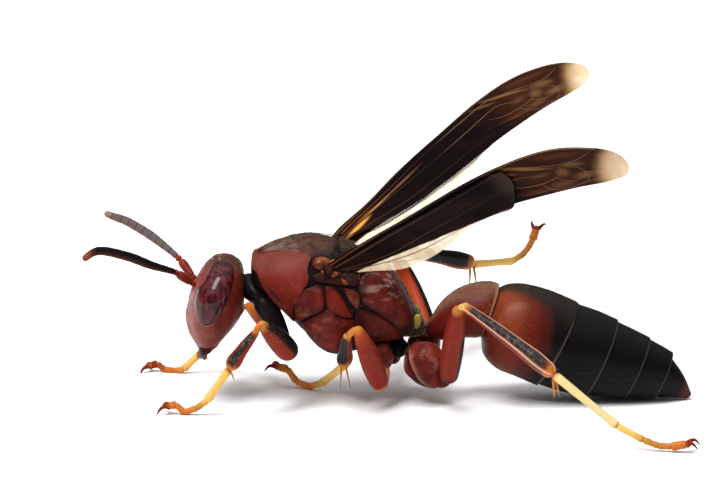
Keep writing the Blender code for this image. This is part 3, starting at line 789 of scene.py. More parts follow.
betweenCoxae = blob((1.50, 0.0, 2.12), (0.40, 0.76, 0.38))  # dark floor between the middle and hind coxae
makePiece("trunk", joined([trunkShape(), betweenCoxae]), seamFinish.material)
makePiece("wingRootPlates", sidePlates("wingRoot", lift=0.04, dome=0.05), rootFinish.material)
makePiece("pronotum", sidePlates("pronotum", lift=0.09, bevel=0.09, dome=0.03), collarFinish.material,
          ["pronotum"])
makePiece("mesopleuron", sidePlates("frontSide", "rearSide", "lowSide", spread=1.07, lift=0.05, dome=0.06),
          plateFinish.material, ["mesopleuron"])
scutumGrey, rearRed = scutumFinish(), rearFinish()
makePiece("mesoscutum", topPlate("scutum", lift=0.04, dome=0.03, bevel=0.08, count=120), scutumGrey,
          ["mesoscutum"])
makePiece("scutellum", topPlate("scutellum", lift=0.07, dome=0.06), scutumGrey, ["scutellum"])
hindRing = joined([sidePlates("highMeta", "lowMeta", spread=1.06, lift=0.05, dome=0.05),
                   topPlate("metanotum", lift=0.07, dome=0.05)])
makePiece("metathorax", hindRing, rearRed, ["metathorax"])
makePiece("propodeum", sidePlates("propodeum", spread=1.03, lift=0.06, dome=0.07), rearRed, ["propodeum"])


def laidLimb(side, line, girth, lift):
    # a raised or sunk line that follows the trunk's flank
    points, normals = trunkSkin.fromSide(side)(smoothRows(line, 24))
    return limbShape(points + normals * lift, girth, 50, 10)


collarLines = dict(  # points along the body and up, then girth and lift
    # the groove is drawn as a black line laid on the plate: painted shade in it
    groove=([(-3.46, 4.50), (-3.20, 4.22), (-2.90, 3.90)], (0.02, 0.05, 0.04, 0.015), 0.09),
    frontRidge=([(-4.12, 5.74), (-3.98, 5.36), (-3.80, 5.02), (-3.60, 4.78)], (0.03, 0.05, 0.045, 0.02),
                0.08),
    topRidge=([(-4.10, 5.82), (-3.60, 5.93), (-3.00, 5.97), (-2.30, 5.88), (-1.92, 5.74)],
              (0.03, 0.045, 0.045, 0.03), 0.05),
)
grooveShadeLines, ridgeLines, valvulae = [], [], []
for side in (-1, 1):
    grooveShadeLines.append(laidLimb(side, *collarLines["groove"]))
    ridgeLines += [laidLimb(side, *collarLines[name]) for name in ("frontRidge", "topRidge")]
    spot, normal = trunkSkin.fromSide(side)(np.array((2.22, 3.18)))
    valvulae.append(blob(spot + normal * 0.02, (0.17, 0.12, 0.30), 8))
# black lines along the pronotum's grooves: painted shade
makePiece("pronotumGrooveShade", joined(grooveShadeLines), neckFinish.material)
makePiece("pronotumRidges", joined(ridgeLines), collarFinish.material)
spotFinish = chitin("valvulaYellow", (0.16, 0.12, 0.02), (0.42, 0.34, 0.06), pits=0.2, down=0.0)
makePiece("valvulae", joined(valvulae), spotFinish.material)

neckSizes = dict(  # along the body, height, half height, half width
    rings=[(-4.80, 4.66, 0.26, 0.40), (-4.45, 4.58, 0.50, 0.80), (-4.10, 4.42, 0.58, 1.05),
           (-3.70, 4.14, 0.54, 1.10), (-3.30, 3.90, 0.35, 0.90)],
    columns=48,
)
neckRows = smoothRows(neckSizes["rings"], 40)
turns = fullTurn(neckSizes["columns"])
neckRings = np.stack((
    neckRows[:, :1] * np.ones_like(turns),
    neckRows[:, 3:] * np.sin(turns),
    neckRows[:, 1:2] + neckRows[:, 2:3] * np.cos(turns),
), -1)
makePiece("neck", sweptShape(neckRings), neckFinish.material, ["neck"])
print("thorax made")


# wing bases
tegulaSizes = dict(
    outline=[(-1.86, 5.44), (-1.78, 5.66), (-1.55, 5.76), (-1.28, 5.70), (-1.12, 5.50), (-1.30, 5.30),
             (-1.64, 5.26)],
    joints=[  # along the body, height, size, lean
        (-1.02, 5.54, 0.26, -12), (-0.78, 5.38, 0.22, 10), (-1.36, 5.12, 0.20, 30), (-0.98, 5.08, 0.24, -20),
        (-0.62, 4.78, 0.17, 40), (-0.44, 5.30, 0.26, -30), (-0.20, 5.46, 0.22, -35), (0.02, 5.20, 0.20, 0),
    ],
)
tegulaFinish = chitin("tegulaAmber", (0.07, 0.012, 0.006), (0.30, 0.075, 0.018), pits=0.1, down=0.0,
                      roughness=0.22, coat=2.0)
jointFinish = chitin("wingJointAmber", (0.05, 0.010, 0.005), (0.30, 0.085, 0.02), pits=0.1, down=0.0,
                     roughness=0.25, coat=1.5)
for side, label in sideNames.items():
    dome = plateShape(trunkSkin.fromSide(side), tegulaSizes["outline"], lift=0.05, dome=0.16, bevel=0.12)
    makePiece("tegula_" + label, dome, tegulaFinish.material, ["tegula_" + label])
    lumps = []
    for x, v, size, lean in tegulaSizes["joints"]:
        spot, normal = trunkSkin.fromSide(side)(np.array((x, v)))
        lumps.append(blob(spot + normal * 0.04, (size, size * 0.7, size * 0.45), lean))
    makePiece("wingJoint_" + label, joined(lumps), jointFinish.material)
print("wing bases made")


# gaster
gasterSizes = dict(
    segments=[  # each ring: along the body, height, half height, half width, lean
        [(2.46, 2.94, 0.20, 0.22, 20), (2.62, 2.96, 0.26, 0.26, 20), (2.90, 3.01, 0.52, 0.50, 0),
         (3.30, 3.23, 0.80, 0.80, -3), (3.80, 3.48, 0.99, 1.02, 1), (4.36, 3.63, 1.10, 1.16, 8),
         (4.84, 3.65, 1.15, 1.22, 15), (5.10, 3.62, 1.10, 1.18, 20)],
        [(5.02, 3.54, 0.95, 1.02, 22), (5.17, 3.52, 1.12, 1.20, 22), (5.42, 3.23, 1.54, 1.62, 22),
         (6.00, 2.94, 1.80, 1.88, 22), (6.85, 2.64, 1.85, 1.96, 24), (7.76, 2.24, 1.84, 1.92, 28)],
        [(7.60, 2.29, 1.80, 1.88, 28), (8.64, 1.94, 1.78, 1.84, 26), (9.50, 1.66, 1.66, 1.68, 24)],
        [(9.30, 1.72, 1.64, 1.66, 24), (10.20, 1.44, 1.50, 1.52, 24), (10.90, 1.25, 1.34, 1.34, 24)],
        [(10.70, 1.30, 1.34, 1.34, 24), (11.42, 1.10, 1.17, 1.17, 24), (11.96, 0.96, 1.00, 0.97, 23)],
        [(11.80, 0.98, 0.94, 0.92, 23), (12.50, 0.56, 0.54, 0.52, 28), (13.02, 0.14, 0.12, 0.13, 36)],
    ],
    rows=70, columns=120, lip=0.015, underScale=0.965,
)


def gasterRings(rings, rows, scale):
    dense = smoothRows(rings, rows)
    angles = fullTurn(gasterSizes["columns"])
    scales = scale(np.linspace(0, 1, rows)[:, None], folded(angles)[None, :])
    lean = np.radians(dense[:, 4])[:, None]
    up = dense[:, 2][:, None] * np.cos(angles) * scales
    x = dense[:, 0][:, None] + up * np.sin(lean)
    z = dense[:, 1][:, None] + up * np.cos(lean)
    y = dense[:, 3][:, None] * np.sin(angles) * scales
    run = (dense[:, 0] - dense[0, 0]) / (dense[-1, 0] - dense[0, 0])
    uv = np.stack(np.broadcast_arrays(folded(angles)[None, :] / math.pi, run[:, None]), -1)
    return sweptShape(np.stack((x, y, z), -1), uv)


def backScale(along, turn):
    # the upper plate stands proud down to its side margin and a little at its rear lip
    margin = math.radians(90) + math.radians(17) * np.sin(math.pi * np.clip(along, 0, 1))
    proud = 1 / (1 + np.exp((turn - margin) / 0.018))
    rear = gasterSizes["lip"] * np.clip(along, 0, 1) ** 3
    return (0.94 + 0.06 * proud + rear) * np.where(along > 0.985, 0.985, 1.0)


def underScale(along, turn):
    rear = gasterSizes["lip"] * np.clip(along, 0, 1) ** 3
    return (gasterSizes["underScale"] + rear) * np.ones_like(turn)


def evenScale(along, turn):
    return np.ones_like(along + turn)


def gasterFinish(name, colours, rimTone, down=0.35, roughness=0.36, slant=0.0):
    # colours run along the segment, with gold down on the back and a pale line at the rear lip
    finish = Finish(name, roughness, 0.0, down * 0.05, sheenTint=(1, 0.72, 0.36), specular=0.07)
    slanted = finish.plus(finish.v, finish.times(finish.math("SUBTRACT", 0.5, finish.u), slant))
    along = finish.ramp(finish.plus(slanted, finish.wobble(900, 3, 0.12)), colours)
    patchy = finish.mix(finish.times(finish.noise(5200, 4), 0.45), along, (0.004, 0.003, 0.003))
    rim = finish.ramp(finish.v, [(0.962, 0.0), (0.978, 0.8), (1.0, 0.8)])
    finish.colour(finish.mix(rim, patchy, rimTone))
    finish.bump(finish.ramp(finish.cells(13000), [(0.0, 0.0), (0.4, 1.0)]), 0.008, 0.45)
    finish.bump(finish.noise(2600, 3), 0.02, 0.3)
    return finish


def bellFinish():
    # the narrow first segment, pale gold along its top in patches as a painted sheen on the down
    finish = gasterFinish("gasterBellRed", [(0.0, (0.03, 0.006, 0.004)), (0.25, (0.10, 0.006, 0.004)),
                                            (0.8, (0.11, 0.010, 0.006))], (0.25, 0.10, 0.05), down=0.6)
    # pale gold on the top side: a painted sheen on the down
    top = finish.ramp(finish.u, [(0.06, 0.8), (0.18, 0.5), (0.34, 0.0)])
    patchy = finish.ramp(finish.noise(2400, 6, roughness=0.7), [(0.36, 0.35), (0.62, 1.0)])
    finish.tint(finish.times(top, patchy), (0.165, 0.105, 0.065))
    return finish


def secondFinish():
    # red to black on a slant, with a painted golden sheen in front and dark along the back
    finish = gasterFinish("gasterSecond", [(0.0, (0.12, 0.022, 0.010)), (0.28, (0.19, 0.030, 0.008)),
                                           (0.58, (0.11, 0.010, 0.004)), (0.78, (0.05, 0.005, 0.003)),
                                           (0.90, (0.003, 0.0025, 0.003))], (0.05, 0.032, 0.022), slant=0.5)
    # gold patches toward the front: a painted golden sheen on the down
    patchy = finish.ramp(finish.noise(520, 4), [(0.46, 0.0), (0.66, 1.0)])
    front = finish.ramp(finish.plus(finish.v, finish.times(finish.u, 0.6)), [(0.34, 0.75), (0.62, 0.0)])
    finish.tint(finish.times(patchy, front), (0.34, 0.19, 0.075))
    slope = finish.math("SUBTRACT", finish.u, finish.times(finish.v, 0.14))
    finish.tint(finish.ramp(slope, [(0.05, 0.96), (0.19, 0.0)]), (0.011, 0.007, 0.005))
    return finish


blackFinish = gasterFinish("gasterBlack", [(0.0, (0.0018, 0.0016, 0.002)), (1.0, (0.003, 0.0026, 0.003))],
                           (0.05, 0.034, 0.026))
lastFinish = gasterFinish("gasterLast", [(0.0, (0.002, 0.0018, 0.002)), (0.6, (0.006, 0.003, 0.003)),
                                         (0.9, (0.07, 0.014, 0.010))], (0.09, 0.018, 0.012))
underRed = gasterFinish("gasterUnderRed", [(0.0, (0.11, 0.016, 0.009)), (0.45, (0.15, 0.018, 0.008)),
                                           (0.66, (0.07, 0.010, 0.005)), (0.88, (0.006, 0.003, 0.003))],
                        (0.08, 0.05, 0.04))
backFinishes = [bellFinish(), secondFinish(), blackFinish, blackFinish, blackFinish, lastFinish]
underFinishes = {1: underRed, 2: blackFinish, 3: blackFinish, 4: blackFinish}
for k, rings in enumerate(gasterSizes["segments"]):
    number = str(k + 1)
    shell = gasterRings(rings, gasterSizes["rows"], backScale if k in underFinishes else evenScale)
    makePiece("tergite" + number, shell, backFinishes[k].material, ["gaster_segment_" + number])
    if k in underFinishes:
        under = gasterRings(rings, gasterSizes["rows"], underScale)
        makePiece("sternite" + number, under, underFinishes[k].material)
print("gaster made")


# legs
legPoints = dict(
    left_front=dict(
        coxa=[(-4.00, -0.85, 4.40), (-2.92, -1.25, 2.58)],
        femur=[(-2.66, -1.50, 2.16), (-3.86, -3.84, 4.02)],
        tibia=[(-3.98, -3.84, 3.70), (-5.06, -3.02, 2.02)],
        tarsus=[(-5.14, -2.98, 1.88), (-5.96, -2.60, 0.62), (-6.35, -2.50, 0.30), (-6.86, -2.42, 0.10),
                (-7.18, -2.36, 0.40), (-7.42, -2.32, 0.34)]),
    right_front=dict(
        coxa=[(-4.00, 0.85, 4.40), (-3.34, 1.25, 2.95)],
        femur=[(-3.10, 1.60, 2.24), (-4.58, 3.60, 3.00)],
        tibia=[(-4.72, 3.66, 2.86), (-6.28, 4.08, 1.06)],
        tarsus=[(-6.38, 4.10, 0.92), (-7.14, 4.20, 0.16), (-7.52, 4.30, 0.09), (-7.92, 4.38, 0.12),
                (-8.20, 4.46, 0.34), (-8.42, 4.50, 0.26)]),
    left_mid=dict(
        coxa=[(0.40, -0.70, 2.40), (1.10, -1.10, 1.52)],
        femur=[(0.86, -1.42, 0.80), (-0.12, -3.84, 3.84)],
        tibia=[(-0.50, -3.56, 3.46), (-0.62, -0.90, 1.68)],
        tarsus=[(-0.62, -0.74, 1.56), (-1.52, 1.26, 0.34), (-2.04, 1.66, 0.10), (-2.54, 2.00, 0.22),
                (-2.90, 2.30, 0.66), (-3.26, 2.42, 0.72)]),
    right_mid=dict(
        coxa=[(0.55, 0.70, 2.40), (1.32, 1.10, 1.52)],
        femur=[(1.36, 1.46, 1.14), (1.02, 4.30, 3.42)],
        tibia=[(0.98, 4.46, 3.34), (0.50, 6.96, 0.98)],
        tarsus=[(0.46, 7.08, 0.86), (-0.16, 8.66, 0.14), (-0.50, 9.16, 0.09), (-0.76, 9.50, 0.10),
                (-1.00, 9.78, 0.30), (-1.20, 10.00, 0.16)]),
    left_hind=dict(
        coxa=[(2.00, -0.68, 2.34), (3.10, -1.15, 0.80)],
        femur=[(3.46, -1.52, 1.14), (3.78, -4.44, 4.78)],
        tibia=[(3.94, -4.62, 4.92), (7.36, -6.78, 2.74)],
        tarsus=[(7.48, -6.84, 2.64), (9.76, -7.58, 0.90), (10.74, -7.78, 0.42), (11.30, -7.88, 0.22),
                (11.78, -7.98, 0.22), (12.34, -8.08, 0.34)]),
    right_hind=dict(
        coxa=[(2.02, 0.62, 2.34), (2.92, 1.15, 1.50)],
        femur=[(2.94, 1.56, 1.80), (1.46, 4.96, 4.78)],
        tibia=[(1.48, 5.14, 4.86), (4.62, 8.66, 3.56)],
        tarsus=[(4.72, 8.78, 3.48), (6.34, 11.20, 3.06), (6.80, 11.78, 3.20), (7.06, 12.10, 3.44),
                (7.24, 12.34, 3.72), (7.38, 12.54, 4.10)]),
)
legGirths = dict(
    coxa=dict(front=(0.34, 0.42, 0.42, 0.36, 0.28), mid=(0.40, 0.54, 0.54, 0.44, 0.26),
              hind=(0.74, 0.86, 0.82, 0.70, 0.44)),
    femur=dict(front=(0.36, 0.45, 0.46, 0.43, 0.36, 0.25, 0.15),
               mid=(0.28, 0.40, 0.44, 0.43, 0.37, 0.28, 0.18),
               hind=(0.34, 0.40, 0.43, 0.43, 0.40, 0.32, 0.22)),
    tibia=(0.16, 0.21, 0.25, 0.28, 0.33, 0.28), toe=(0.14, 0.13, 0.12, 0.15),
    toeScales=(1.20, 1.02, 1.0, 1.0, 1.32),
    claw=(0.09, 0.09, 0.055, 0.018), clawReach=0.62, spur=(0.055, 0.05, 0.034, 0.012),
)
legTones = dict(
    # colours along each limb, then its stripe: tone, how far round it reaches, where it starts and stops
    left_front=dict(
        femur=dict(along=[(0.0, "brown"), (0.12, "red"), (0.82, "red"), (0.95, "amber"), (1.0, "amber")],
                   stripe=("black", 0.40, 0.0, 0.90), up=(1, 0.45, 0.3)),
        tibia=dict(along=[(0.0, "orange"), (0.10, "red"), (0.78, "red"), (0.90, "orange")],
                   stripe=("grey", 0.20, 0.06, 0.86), up=(-0.30, -1.0, 0.1)),
        tarsus=[(0.0, "orange"), (0.05, "yellow"), (0.46, "yellow"), (0.58, "amber"), (0.85, "orange"),
                (1.0, "orange")]),
    right_front=dict(
        femur=dict(along=[(0.0, "black"), (0.22, "black"), (0.40, "brightRed"), (0.8, "orange")],
                   stripe=("black", 0.2, 0.1, 0.6), up=(0, 0, 1)),
        tibia=dict(along=[(0.0, "orange"), (0.5, "amber"), (1.0, "orange")],
                   stripe=("black", 0.0, 0.1, 0.2), up=(0, 0, 1)),
        tarsus=[(0.0, "orange"), (0.2, "yellow"), (0.6, "orange"), (1.0, "red")]),
    left_mid=dict(
        femur=dict(along=[(0.0, "deepRed"), (0.03, "amber"), (0.06, "amber"), (0.12, "red"), (0.72, "red"),
                          (0.88, "brightRed"), (1.0, "orange")],
                   stripe=("brown", 0.16, 0.0, 0.60), up=(1, 0.3, 0.5)),
        tibia=dict(along=[(0.0, "amber"), (0.16, "red"), (0.7, "red"), (0.88, "amber")],
                   stripe=("black", 0.48, 0.0, 0.82), up=(-1, -0.6, 0)),
        # this foot sits in the body's shade; its tones are brightened copies of yellow and amber, painted
        # light
        tarsus=[(0.0, "paintedLitAmber"), (0.06, "paintedLitYellow"), (0.52, "paintedLitYellow"), (0.64, "paintedLitAmber"), (0.85, "paintedLitAmber"),
                (1.0, "orange")]),
    right_mid=dict(
        femur=dict(along=[(0.0, "deepRed"), (0.2, "red"), (0.8, "red"), (1.0, "orange")],
                   stripe=("black", 0.3, 0.0, 0.8), up=(0, 0, 1)),
        tibia=dict(along=[(0.0, "orange"), (0.2, "red"), (0.8, "red"), (1.0, "orange")],
                   stripe=("black", 0.4, 0.1, 0.85), up=(0, 0, 1)),
        tarsus=[(0.0, "yellow"), (0.5, "yellow"), (0.66, "orange"), (1.0, "red")]),
    left_hind=dict(
        femur=dict(along=[(0.0, "deepRed"), (0.02, "deepRed"), (0.05, "brown"), (0.14, "red"), (0.92, "red"),
                          (1.0, "amber")],
                   stripe=("black", 0.32, 0.0, 0.62), up=(1, 0.3, -0.2)),
        tibia=dict(along=[(0.0, "yellow"), (0.07, "orange"), (0.14, "red"), (0.90, "red"), (0.97, "orange"),
                          (1.0, "orange")],
                   # the cream rim is a painted highlight along both edges of the stripe
                   stripe=("grey", 0.20, 0.08, 0.93), up=(0.115, -0.89, 0.434), rim="cream"),
        tarsus=[(0.0, "orange"), (0.04, "paleYellow"), (0.50, "paleYellow"), (0.58, "yellow"),
                (0.75, "amber"),
                (0.88, "orange"), (1.0, "orange")]),
    right_hind=dict(
        femur=dict(along=[(0.0, "red"), (0.3, "brightRed"), (0.9, "brightRed"), (1.0, "orange")],
                   stripe=("black", 0.28, 0.0, 0.9), up=(1, 0, 0.5)),
        tibia=dict(along=[(0.0, "orange"), (0.15, "red"), (0.82, "red"), (0.92, "orange"), (1.0, "yellow")],
                   stripe=("black", 0.62, 0.22, 0.90), up=(0.3, -0.3, 1)),
        tarsus=[(0.0, "yellow"), (0.5, "yellow"), (0.72, "amber"), (1.0, "orange")]),
)


def limbFinish(name, along, stripe=None, rim=None, roughness=0.34, down=0.3, bands=()):
    # colours along a limb, with pale joint bands or a dark stripe and a pale rim along it, the rim a painted
    # highlight
    finish = Finish(name, roughness, 0.03, down * 0.05, sheenTint=(1, 0.85, 0.6))
    uneven = finish.wobble(1400, 3, 0.10)
    run, turn = finish.plus(finish.v, uneven), finish.plus(finish.u, uneven)
    base = finish.ramp(run, [(spot, tones[tone]) for spot, tone in along])
    finish.colour(finish.mix(finish.times(finish.noise(6500, 4), 0.35), base, (0.06, 0.012, 0.006),
                             "MULTIPLY"))
    for mark in bands:
        ring = [(mark - 0.030, 0.0), (mark - 0.008, 0.75), (mark + 0.004, 0.75), (mark + 0.016, 0.0)]
        finish.tint(finish.ramp(finish.v, ring), (0.42, 0.15, 0.035))
    if stripe:
        tone, reach, start, stop = stripe
        # a pale band just past both edges of the stripe: painted highlight
        if rim:
            finish.tint(finish.ramp(turn, [(reach, 0.0), (reach + 0.06, 0.5), (reach + 0.18, 0.0)]),
                        tones[rim])
        worn = finish.ramp(finish.noise(7500, 5, roughness=0.7), [(0.46, 0.0), (0.68, 1.0)])
        dark = finish.mix(finish.times(worn, 0.65 if tone == "grey" else 0.1), tones[tone],
                          (0.16, 0.115, 0.095))
        across = finish.ramp(turn, [(max(reach - 0.06, 0), 1.0), (reach + 0.06, 0.0)])
        length = finish.ramp(run, [(max(start - 0.04, 0), 0.0), (start + 0.05, 1.0), (stop - 0.06, 1.0),
                                   (min(stop + 0.05, 1), 0.0)])
        finish.tint(finish.times(across, length), dark)
    finish.bump(finish.ramp(finish.cells(15000), [(0.0, 0.0), (0.4, 1.0)]), 0.006, 0.4)
    finish.bump(finish.noise(4200, 3), 0.012, 0.35)
    return finish.material


def flattened(shape):
    # nothing goes under the ground: soles sit flat on it
    points, faces, uv = shape
    points = points.copy()
    points[:, 2] = np.maximum(points[:, 2], 0.004)
    return points, faces, uv


def restamped(shape, low, high):
    points, faces, uv = shape
    uv = uv.copy()
    uv[:, 1] = low + (high - low) * uv[:, 1]
    return points, faces, uv


def clawShapes(root, tip):
    # two hooked claws with a pad between them
    root, tip = np.array(root, float), np.array(tip, float)
    ahead = unit(tip - root)
    across = unit(np.cross(ahead, (0, 0, 1)))
    reach = legGirths["clawReach"]
    shapes = [limbShape([tip - ahead * 0.10, tip + ahead * 0.20], (0.10, 0.15, 0.10), 16, 14, flat=1.2)]
    for side in (-1, 1):
        start = tip - ahead * 0.05 + across * side * 0.03
        middle = start + ahead * reach * 0.5 + across * side * reach * 0.45 + np.array((0, 0, 0.05))
        end = start + ahead * reach * 0.85 + across * side * reach * 0.50 + np.array((0, 0, -0.20))
        shapes.append(limbShape([start, middle, end], legGirths["claw"], 22, 10))
    return shapes


def toeShapes(points):
    # five toe joints, each flared at its outer end; v runs over the whole foot
    spots = [np.array(p, float) for p in points]
    lengths = np.array([np.linalg.norm(b - a) for a, b in zip(spots, spots[1:])])
    marks = np.concatenate(([0], np.cumsum(lengths))) / lengths.sum()
    shapes = []
    for k, (a, b) in enumerate(zip(spots, spots[1:])):
        ahead = unit(b - a)
        girth = np.array(legGirths["toe"]) * legGirths["toeScales"][k]
        back = 0.14 if k == 0 else 0.05
        stretch = limbShape([a - ahead * back, a + (b - a) * 0.5, b + ahead * 0.03], girth, 34, 18, flat=1.1)
        shapes.append(restamped(stretch, marks[k], marks[k + 1]))
    return shapes, marks[1:-1].tolist()


def coxaFinish():
    # a pale ridge line down the side, a painted highlight, with painted shade in a hollow behind it
    finish = chitin("coxaRed", (0.065, 0.006, 0.004), (0.22, 0.024, 0.014), pits=0.35, down=0.25, coat=0.4,
                    bloom=0.45)
    swayed = finish.plus(finish.u, finish.times(finish.v, -0.16))
    paintedRidgeHighlight = finish.ramp(swayed, [(0.43, 0.0), (0.515, 1.0), (0.53, 0.0)])
    # a dark band behind the ridge: painted shade in a hollow
    finish.tint(finish.ramp(swayed, [(0.51, 0.0), (0.56, 0.85), (0.66, 0.0)]), (0.012, 0.003, 0.003))
    # a pale line along the ridge: painted highlight
    finish.tint(finish.times(paintedRidgeHighlight, 0.30), (0.45, 0.28, 0.20))
    finish.bump(paintedRidgeHighlight, 0.05, 0.5)
    return finish.material


def thighShape(hip, thigh, girth, up):
    # the small trochanter ring, then the femur
    ahead = unit(thigh[1] - thigh[0])
    ring = [hip[1] - unit(hip[1] - hip[0]) * 0.14, thigh[0] + ahead * 0.10]
    route = [thigh[0] - ahead * 0.02, thigh.mean(0) + np.array((0, 0, 0.07)), thigh[1]]
    return joined([restamped(limbShape(ring, (0.17, 0.23, 0.24, 0.19), 26, 24), 0.0, 0.05),
                   limbShape(route, girth, 70, 32, up=up, flat=0.9)])


def shinShape(thigh, shin, girth, up):
    # the knee, then the tibia
    ahead = unit(shin[1] - shin[0])
    knee = [thigh[1] + (shin[0] - thigh[1]) * 0.1, shin[0] + ahead * 0.12]
    route = [shin[0] - ahead * 0.03, shin.mean(0) + np.array((0, 0, 0.05)), shin[1] + ahead * 0.02]
    return joined([restamped(limbShape(knee, (0.11, 0.13, 0.125), 20, 18), 0.0, 0.04),
                   limbShape(route, girth, 64, 28, up=up, flat=0.9)])


def spurShapes(shin, front, girth):
    ahead = unit(shin[1] - shin[0])
    shapes = []
    for sideways in (0.05,) if front else (-0.10, 0.06):
        across = unit(np.cross(ahead, (0, 0, 1))) * sideways
        start = shin[1] + across - np.array((0, 0, 0.10))
        end = start + across * 1.6 + np.array((0.10, 0, -0.40 if front else -0.92))
        shapes.append(limbShape([start, end], girth, 20, 8))
    return shapes


def makeLegs():
    coxaRed = coxaFinish()
    coxaBlack = chitin("coxaBlack", (0.004, 0.004, 0.005), (0.012, 0.007, 0.007), pits=0.35, down=0.15,
                       coat=0.3).material
    clawFinish = limbFinish("clawBrown", [(0.0, "orange"), (0.4, "red"), (1.0, "brown")], roughness=0.25,
                            down=0.0)
    spurFinish = limbFinish("spurAmber", [(0.0, "orange"), (0.7, "amber"), (1.0, "brown")], roughness=0.3,
                            down=0.0)
    claws, spurs = [], []
    for leg, points in legPoints.items():
        pair = leg.split("_")[1]
        hip, thigh, shin = (np.array(points[k], float) for k in ("coxa", "femur", "tibia"))
        foot, looks = points["tarsus"], legTones[leg]
        bow = np.array((0.05, 0, 0.05))
        coxa = limbShape([hip[0], hip.mean(0) + bow, hip[1]], legGirths["coxa"][pair], 50, 32, flat=0.92)
        makePiece(leg + "_coxa", coxa, coxaBlack if pair == "front" else coxaRed, [leg + "_coxa"])

        look = looks["femur"]
        finish = limbFinish(leg + "_femurFinish", look["along"], look["stripe"])
        limb = thighShape(hip, thigh, legGirths["femur"][pair], look["up"])
        makePiece(leg + "_femur", limb, finish, [leg + "_femur"])

        look = looks["tibia"]
        girth = np.array(legGirths["tibia"]) * (1.13 if pair == "hind" else 1.0)
        finish = limbFinish(leg + "_tibiaFinish", look["along"], look["stripe"], look.get("rim"))
        limb = shinShape(thigh, shin, girth, look["up"])
        makePiece(leg + "_tibia", limb, finish, [leg + "_tibia"])
        spurs += spurShapes(shin, pair == "front",
                            np.array(legGirths["spur"]) * (1.0 if pair == "hind" else 0.7))

        toes, joints = toeShapes(foot)
        finish = limbFinish(leg + "_tarsusFinish", looks["tarsus"], roughness=0.38, bands=joints)
        makePiece(leg + "_tarsus", flattened(joined(toes)), finish, [leg + "_tarsus"])
        claws += clawShapes(foot[-2], foot[-1])
    makePiece("claws", flattened(joined(claws)), clawFinish)
    makePiece("spurs", flattened(joined(spurs)), spurFinish)


makeLegs()
print("legs made")


# wings
wingSizes = dict(
    base=(-1.25, 2.05, 5.60), span=(0.762, 0.531, 0.372), turn={-1: 48.0, 1: 70.0},
    reach={-1: 1.013, 1: 0.985}, underDepth=0.16, thickness=0.024, rows=170, across=26, pleat=0.035,
    sheet=(16.0, 5.0, 3.0),  # span and chord that the uv covers, and the chord before its start
    hingeFrom=(-1.45, 1.20, 5.12), hingeGirth=(0.34, 0.24, 0.05),
    fore=dict(
        upper=[(0.35, -0.42), (1.3, -0.75), (3.0, -1.10), (5.0, -1.60), (7.0, -2.04), (9.0, -2.44),
               (10.5, -2.64), (12.0, -2.68), (13.2, -2.45), (14.2, -1.94), (14.70, -1.40), (14.85, -0.95)],
        lower=[(0.35, -0.05), (1.5, 0.05), (4.0, 0.05), (6.0, -0.16), (8.0, -0.40), (9.5, -0.48),
               (11.8, -0.20), (13.4, 0.08), (14.30, 0.06), (14.74, -0.40), (14.85, -0.95)],
        farLower=[(0.35, -0.05), (1.5, 0.14), (4.0, 0.34), (6.0, 0.22), (8.0, -0.02), (9.5, -0.18),
                  (11.8, -0.26), (13.6, -0.16), (14.30, -0.26), (14.72, -0.56), (14.85, -0.95)]),
    hind=dict(
        upper=[(0.55, -0.40), (1.4, -0.62), (3.0, -0.96), (5.0, -1.45), (7.0, -1.90), (9.0, -2.30),
               (10.1, -2.46), (10.42, -2.36), (10.50, -2.00)],
        lower=[(0.55, -0.10), (0.9, 0.16), (2.2, 0.62), (3.3, 0.90), (4.8, 0.70), (6.0, 0.30), (7.3, -0.18),
               (8.3, -0.38), (9.45, -0.46), (10.1, -1.22), (10.44, -1.75), (10.50, -2.00)],
        farLower=[(0.55, -0.10), (0.9, 0.20), (2.2, 0.72), (3.3, 1.06), (4.8, 0.98), (6.0, 0.68), (7.3, 0.22),
                  (8.3, -0.12), (9.45, -0.40), (10.1, -1.22), (10.44, -1.75), (10.50, -2.00)]),
    foreVeins=[  # girth, whether its outer part is tan, then points along the span and chord
        (0.050, 0, [(0.4, -0.36), (3.0, -1.04), (7.0, -1.98), (10.5, -2.58), (12.4, -2.60), (13.6, -2.24),
                    (14.3, -1.82)]),
        (0.040, 1, [(0.5, -0.22), (3.0, -0.82), (6.0, -1.50), (9.0, -2.10), (10.6, -2.30), (11.6, -2.02),
                    (12.4, -1.74)]),
        (0.030, 1, [(0.6, -0.12), (3.0, -0.50), (6.0, -1.00), (9.0, -1.50), (10.4, -1.72), (11.0, -1.60),
                    (11.6, -1.30)]),
        (0.026, 1, [(9.8, -1.40), (10.4, -1.10), (11.2, -0.98), (11.9, -1.05), (12.3, -1.30),
                    (12.42, -1.70)]),
        (0.022, 1, [(11.9, -1.05), (12.2, -0.72), (12.7, -0.62), (13.1, -0.86), (12.95, -1.20),
                    (12.42, -1.34)]),
        (0.022, 1, [(11.2, -0.98), (11.4, -0.56), (11.9, -0.32), (12.6, -0.30), (13.0, -0.46),
                    (13.1, -0.86)]),
        (0.022, 1, [(9.4, -0.98), (10.2, -0.72), (11.4, -0.56)]),
        (0.020, 1, [(12.42, -1.74), (13.1, -1.62), (13.7, -1.70), (14.1, -1.86)]),
        (0.018, 1, [(13.1, -0.86), (13.6, -0.72), (14.0, -0.74)]),
        (0.026, 0, [(0.6, -0.04), (4.0, 0.00), (6.0, -0.18), (8.0, -0.42), (9.5, -0.50), (11.8, -0.34),
                    (13.4, -0.28)]),
    ],
    hindVeins=[
        (0.034, 1, [(0.7, -0.36), (3.0, -0.86), (7.0, -1.78), (9.9, -2.34)]),
        (0.028, 1, [(0.8, -0.10), (3.0, -0.10), (5.4, -0.62), (8.0, -1.10), (10.0, -1.60)]),
        (0.024, 1, [(0.9, 0.00), (2.6, 0.28), (4.4, 0.26), (6.0, -0.04), (7.6, -0.44)]),
        (0.016, 1, [(2.6, 0.28), (3.6, 0.56), (4.6, 0.62)]),
    ],
)


